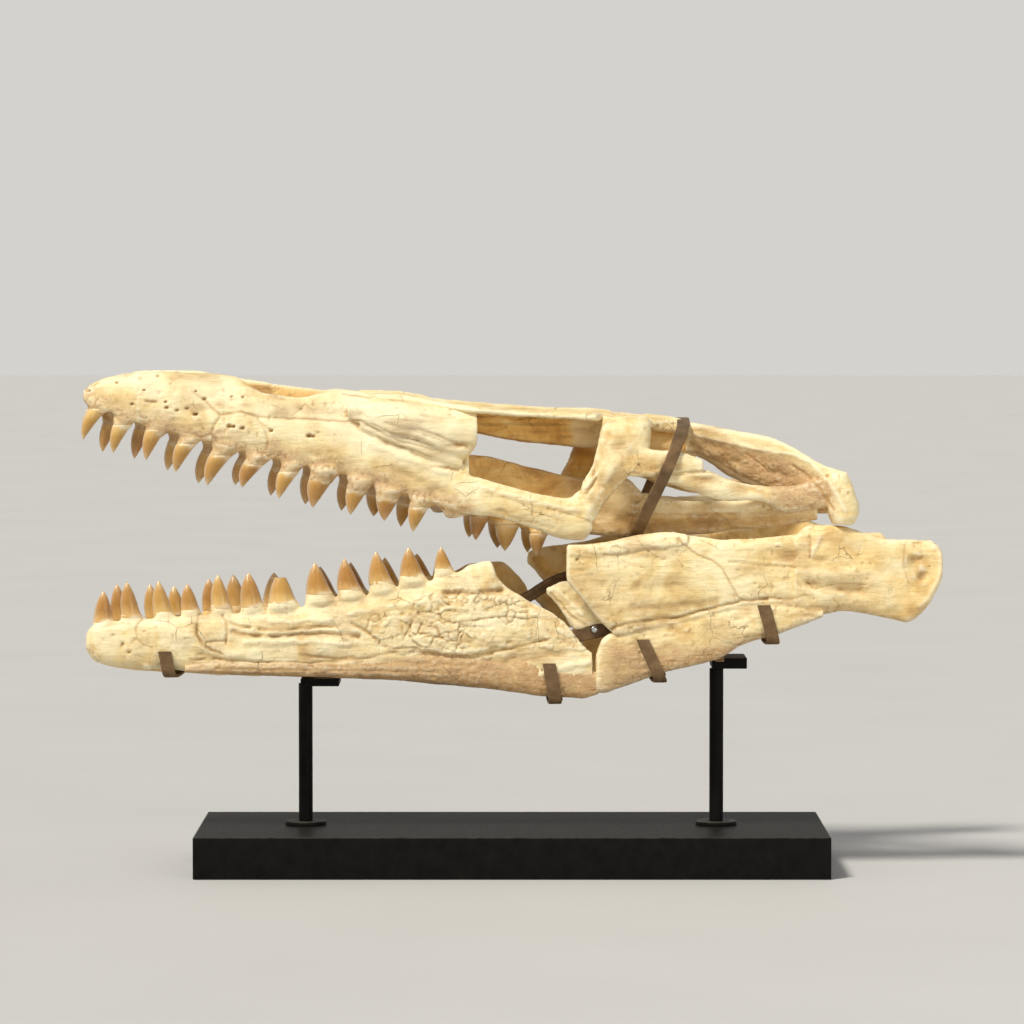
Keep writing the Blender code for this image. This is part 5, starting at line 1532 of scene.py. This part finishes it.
def make_clips():
    """Flat hooks that leave the spine, pass under each half of the jaw and rise outside it."""
    half = STRAP_THICKNESS / 2.0
    for number, (x, end, bottom, outer, inner, rake, start, rise, back) in enumerate(CLIPS, 1):
        spine = column_of(SPINE, 1, start)
        shoulder = (spine + bottom) / 2.0 + 4.0
        for label, short, side, _ in SIDES:
            across, drop = 0.0, 0.0
            if side > 0.0:
                across = 2.0 * outer * STRAP_SKEW
                drop = column_of(RIGHT_JAW_FALL, 1, x) - rise
            profile = [
                (back, inner - half, shoulder), (back, inner - half, bottom - half + rise),
                (0.0, outer + half, bottom - half), (0.0, outer + half, end)]
            path = [(start + across, side * (SPINE_THICKNESS / 2.0 + 0.5), spine)]
            for shift, y, z in profile:
                along = x + across + shift + rake * (z - (end + bottom) / 2.0)
                path.append((along, side * y, z - drop))
            path = np.array(path)
            dense = [path[0]]
            for first, second in zip(path, path[1:]):
                reach = min(0.42, STRAP_CORNER / np.linalg.norm(second - first))
                dense += [first + reach * (second - first), second - reach * (second - first)]
            bar_piece(f"clip_{number}_{label}", f"armature_clip_{number}_{short}",
                      [*dense, path[-1]], (1, 0, 0), STRAP_WIDTH, STRAP_THICKNESS)


def make_straps():
    """The strap over the skull roof, in three lengths."""
    lengths = [("over_roof", "top", STRAP_TOP)]
    lengths += [(label, short, [(x, side * y, z) for x, y, z in STRAP_SIDE])
                for label, short, side, _ in SIDES]
    for label, short, path in lengths:
        path = [(x + STRAP_SKEW * (y - STRAP_CENTRE), y, z) for x, y, z in path]
        bar_piece(f"strap_{label}", f"armature_strap_{short}", path, (1, 0, 0), STRAP_WIDTH,
                  STRAP_THICKNESS)


def make_bars():
    """The spine between the halves of the jaw, with its posts, the cradle and the tie."""
    bar_piece("spine", "armature_spine", [(x, 0.0, z) for x, z in SPINE], (0, 1, 0),
              SPINE_THICKNESS, SPINE_HEIGHT)
    bar_piece("post_front", "armature_post_front", *upright(FRONT_POST))
    bar_piece("cradle_post", "armature_cradle_post", *upright(CRADLE_POST))
    bar_piece("cradle", "armature_cradle", CRADLE, (1, 0, 0), CRADLE_WIDTH, CRADLE_THICKNESS,
              rounds=1)
    bar_piece("tie", "armature_tie", TIE, (0, 0, 1), TIE_WIDTH, STRAP_THICKNESS, rounds=1)
    bar_piece("post_rear", "armature_post_rear", [(REAR_POST_PLACE, y, z) for y, z in REAR_POST],
              (1, 0, 0), REAR_POST_WIDTH, STRAP_THICKNESS, turn=np.asarray)


def turned_round(profile, count, axis_point, up=True):
    """A profile of (distance, radius) turned round an upright axis, or one along -y."""
    out, radius = np.asarray(profile, float).T[:, :, None]
    angle = np.arange(count) * 2.0 * math.pi / count
    a, b = radius * np.cos(angle), radius * np.sin(angle)
    x, y, z = (a, b, out) if up else (a, -out, b)
    return loft(x + axis_point[0], y + axis_point[1], z + axis_point[2])


def make_bolt():
    """The domed head of the bolt, without its socket: sin and cos of an angle give the dome."""
    face = TIE[0][1] - STRAP_THICKNESS / 2.0 - SEAM
    turn = np.linspace(0.0, 1.0, 12)[1:-2] * math.pi / 2.0
    dome = [(0.0, BOLT_RADIUS - 0.3), (0.3, BOLT_RADIUS), (BOLT_RIM, BOLT_RADIUS)]
    dome += [*zip(BOLT_RIM + BOLT_DOME * np.sin(turn), BOLT_RADIUS * np.cos(turn))]
    points, faces = turned_round(dome, 32, (BOLT_PLACE[0], face, BOLT_PLACE[1]), up=False)
    piece("bolt_head", turned(points), faces, BOLT, ["armature_bolt"],
          {"edge": np.zeros(len(points))}, sharp=40.0)


def rounded_slab(low, high, corner, edge):
    """A slab with rounded corners and eased edges, and its edge mask: rings of a rounded
    rectangle, drawn in by edge * (1 - sin t) at edge * (1 - cos t) from its bottom and its top.
    The edge mask is a painted highlight along the eased top and bottom edges."""
    low, high = np.asarray(low, float), np.asarray(high, float)
    middle, half = (low + high) / 2.0, (high - low) / 2.0
    turn = (np.arange(9) / 8.0)[None, :] * math.pi / 2.0 + np.arange(4)[:, None] * math.pi / 2.0
    centre = np.array([(1, 1), (-1, 1), (-1, -1), (1, -1)])
    bend = np.linspace(0.0, math.pi / 2.0, 5)
    draw = np.concatenate([edge * (1.0 - np.sin(bend)), edge * (1.0 - np.sin(bend[::-1]))])
    draw = np.concatenate([[edge + 0.8], draw, [edge + 0.8]])
    rise = edge * (1.0 - np.cos(bend))
    z = np.concatenate([[low[2]], low[2] + rise, high[2] - rise[::-1], [high[2]]])
    x = middle[0] + centre[:, :1] * (half[0] - corner) + corner * np.cos(turn)
    y = middle[1] + centre[:, 1:] * (half[1] - corner) + corner * np.sin(turn)
    ring = np.stack([x.ravel(), y.ravel()], -1)
    away = np.stack([np.cos(turn).ravel(), np.sin(turn).ravel()], -1)
    flat = ring[None] - away[None] * np.minimum(draw, corner + edge)[:, None, None]
    # Painted highlight: the rings at the eased top and bottom edges are marked for a lighter
    # colour.
    rim = np.zeros(flat.shape[:2])
    rim[1:6] = np.linspace(0.6, 0.0, 5)[:, None]
    rim[-6:-1] = np.linspace(0.0, 1.0, 5)[:, None]
    return *loft(flat[..., 0], flat[..., 1], z[:, None]), np.append(rim.ravel(), [0.0, 0.0])


def slab_piece(name, points, faces, edge):
    """A piece of the stand, in black satin."""
    piece(name, points, faces, SATIN, [f"stand_{name}"], {"edge": edge},
          sharp=35.0)


def make_stand():
    """The base, its two rods with their discs, and the plates on them."""
    half = (BASE_LENGTH / 2.0, BASE_DEPTH / 2.0)
    slab_piece("base", *rounded_slab((-half[0], -half[1], 0.0), (*half, BASE_HEIGHT),
                                     corner=1.8, edge=1.2))
    foot = BASE_HEIGHT + SEAM
    disc = [(0.0, DISC_RADIUS - 0.4), (0.4, DISC_RADIUS), (DISC_HEIGHT - 1.0, DISC_RADIUS),
            (DISC_HEIGHT - 0.3, DISC_RADIUS - 0.3), (DISC_HEIGHT, DISC_RADIUS - 1.0),
            (DISC_HEIGHT, ROD_RADIUS + 1.0)]
    start = foot + DISC_HEIGHT + SEAM
    for name, x, top in zip(("front", "rear"), ROD_PLACES, ROD_TOPS):
        points, faces = turned_round(disc, 64, (x, 0.0, foot))
        rim = np.zeros(len(points))
        # Painted highlight on the disc's upper rim.
        rim[64 * 3:64 * 5] = 0.8
        slab_piece(f"disc_{name}", points, faces, rim)
        rod = [(start, ROD_RADIUS - 0.5), (start + 0.5, ROD_RADIUS), (start + 1.5, ROD_RADIUS)]
        rod += [(start + 1.5 + (top - start - 3.0) * t, ROD_RADIUS) for t in (0.25, 0.5, 0.75, 1.0)]
        rod += [(top - 0.6, ROD_RADIUS), (top - 0.1, ROD_RADIUS - 0.3), (top, ROD_RADIUS - 1.0)]
        points, faces = turned_round(rod, 48, (x, 0.0, 0.0))
        slab_piece(f"rod_{name}", points, faces, np.zeros(len(points)))
    for name, low, high in PLATES:
        slab_piece(f"plate_{name}", *rounded_slab(low, high, corner=1.5, edge=0.7))


make_snout()
make_temples()
make_jaws()
make_clips()
make_straps()
make_bars()
make_bolt()
make_stand()

# ---------------------------------------------------------------- floor, light and camera

FLOOR_REACH = 30000.0            # from the middle, in millimetres; what follows is in metres
KEY_WAY = (-0.42, -0.42, 0.80)   # towards the sun
KEY_POWER = 3.55
KEY_WIDTH = 12.0                 # the sun's size in degrees: it softens the shadows
KEY_COLOUR = (1.0, 0.95, 0.85)
FILL_PLACE = (1.6, -2.4, 0.7)
FILL_TARGET = (0.0, 0.0, 0.35)
FILL_SIZE = 1.6
FILL_POWER = 15.0
FILL_COLOUR = (1.0, 0.95, 0.87)
CAMERA_PLACE = (0.0, -4.600, 0.5677)
CAMERA_PITCH = 2.64              # degrees below level
LENS = 161.7


def make_floor():
    """A pale floor, level under the base."""
    x, y = np.meshgrid(*[np.linspace(-FLOOR_REACH, FLOOR_REACH, 7)] * 2)
    points = np.stack([x.ravel(), y.ravel(), 0.0 * x.ravel()], -1)
    i = np.arange(6)[:, None] * 7 + np.arange(6)[None, :]
    faces = np.stack([i, i + 1, i + 8, i + 7], -1).reshape(-1, 4)
    floor = new_object("floor", points * MM, faces)
    material, tree, shader, where = new_finish("pale_floor")
    colour = ramp_of(tree, clouds(tree, where, 3.0), [(0.3, (0.49, 0.49, 0.49)),
                                                      (0.7, (0.51, 0.51, 0.51))])
    tree.links.new(colour, shader.inputs["Base Color"])
    shader.inputs["Roughness"].default_value = 0.75
    floor.data.materials.append(material)


def make_lamp(kind, name, way, power, colour):
    """A lamp that shines from the given way."""
    light = bpy.data.lights.new(name, kind)
    light.energy = power
    light.color = colour
    thing = placed(name, light)
    thing.rotation_euler = Vector(way).to_track_quat("Z", "Y").to_euler()
    return thing


def make_sky():
    """Soft studio light from all round, brightest near the horizon."""
    world = bpy.data.worlds.new("studio")
    bpy.context.scene.world = world
    world.use_nodes = True
    tree = world.node_tree
    way = add(tree, "TexCoord").outputs["Generated"]
    up = add(tree, "SeparateXYZ", {0: way}).outputs[2]
    colour = ramp_of(tree, up, [(0.1, (0.66, 0.645, 0.615)), (0.45, (0.34, 0.34, 0.34))])
    background = tree.nodes["Background"]
    tree.links.new(colour, background.inputs["Color"])
    background.inputs["Strength"].default_value = 1.0


def make_camera():
    """A long lens from the left, which looks a little down."""
    lens = bpy.data.cameras.new("camera")
    lens.lens = LENS
    lens.sensor_width = 36.0
    lens.clip_end = 100.0
    camera = placed("camera", lens)
    camera.location = CAMERA_PLACE
    camera.rotation_euler = (math.radians(90.0 - CAMERA_PITCH), 0.0, 0.0)
    bpy.context.scene.camera = camera


make_floor()
key = make_lamp("SUN", "key", KEY_WAY, KEY_POWER, KEY_COLOUR)
key.data.angle = math.radians(KEY_WIDTH)
fill_way = Vector(FILL_PLACE) - Vector(FILL_TARGET)
fill = make_lamp("AREA", "fill", fill_way, FILL_POWER, FILL_COLOUR)
fill.location = FILL_PLACE
fill.data.size = FILL_SIZE
make_sky()
make_camera()
bpy.context.scene.view_settings.view_transform = "Standard"
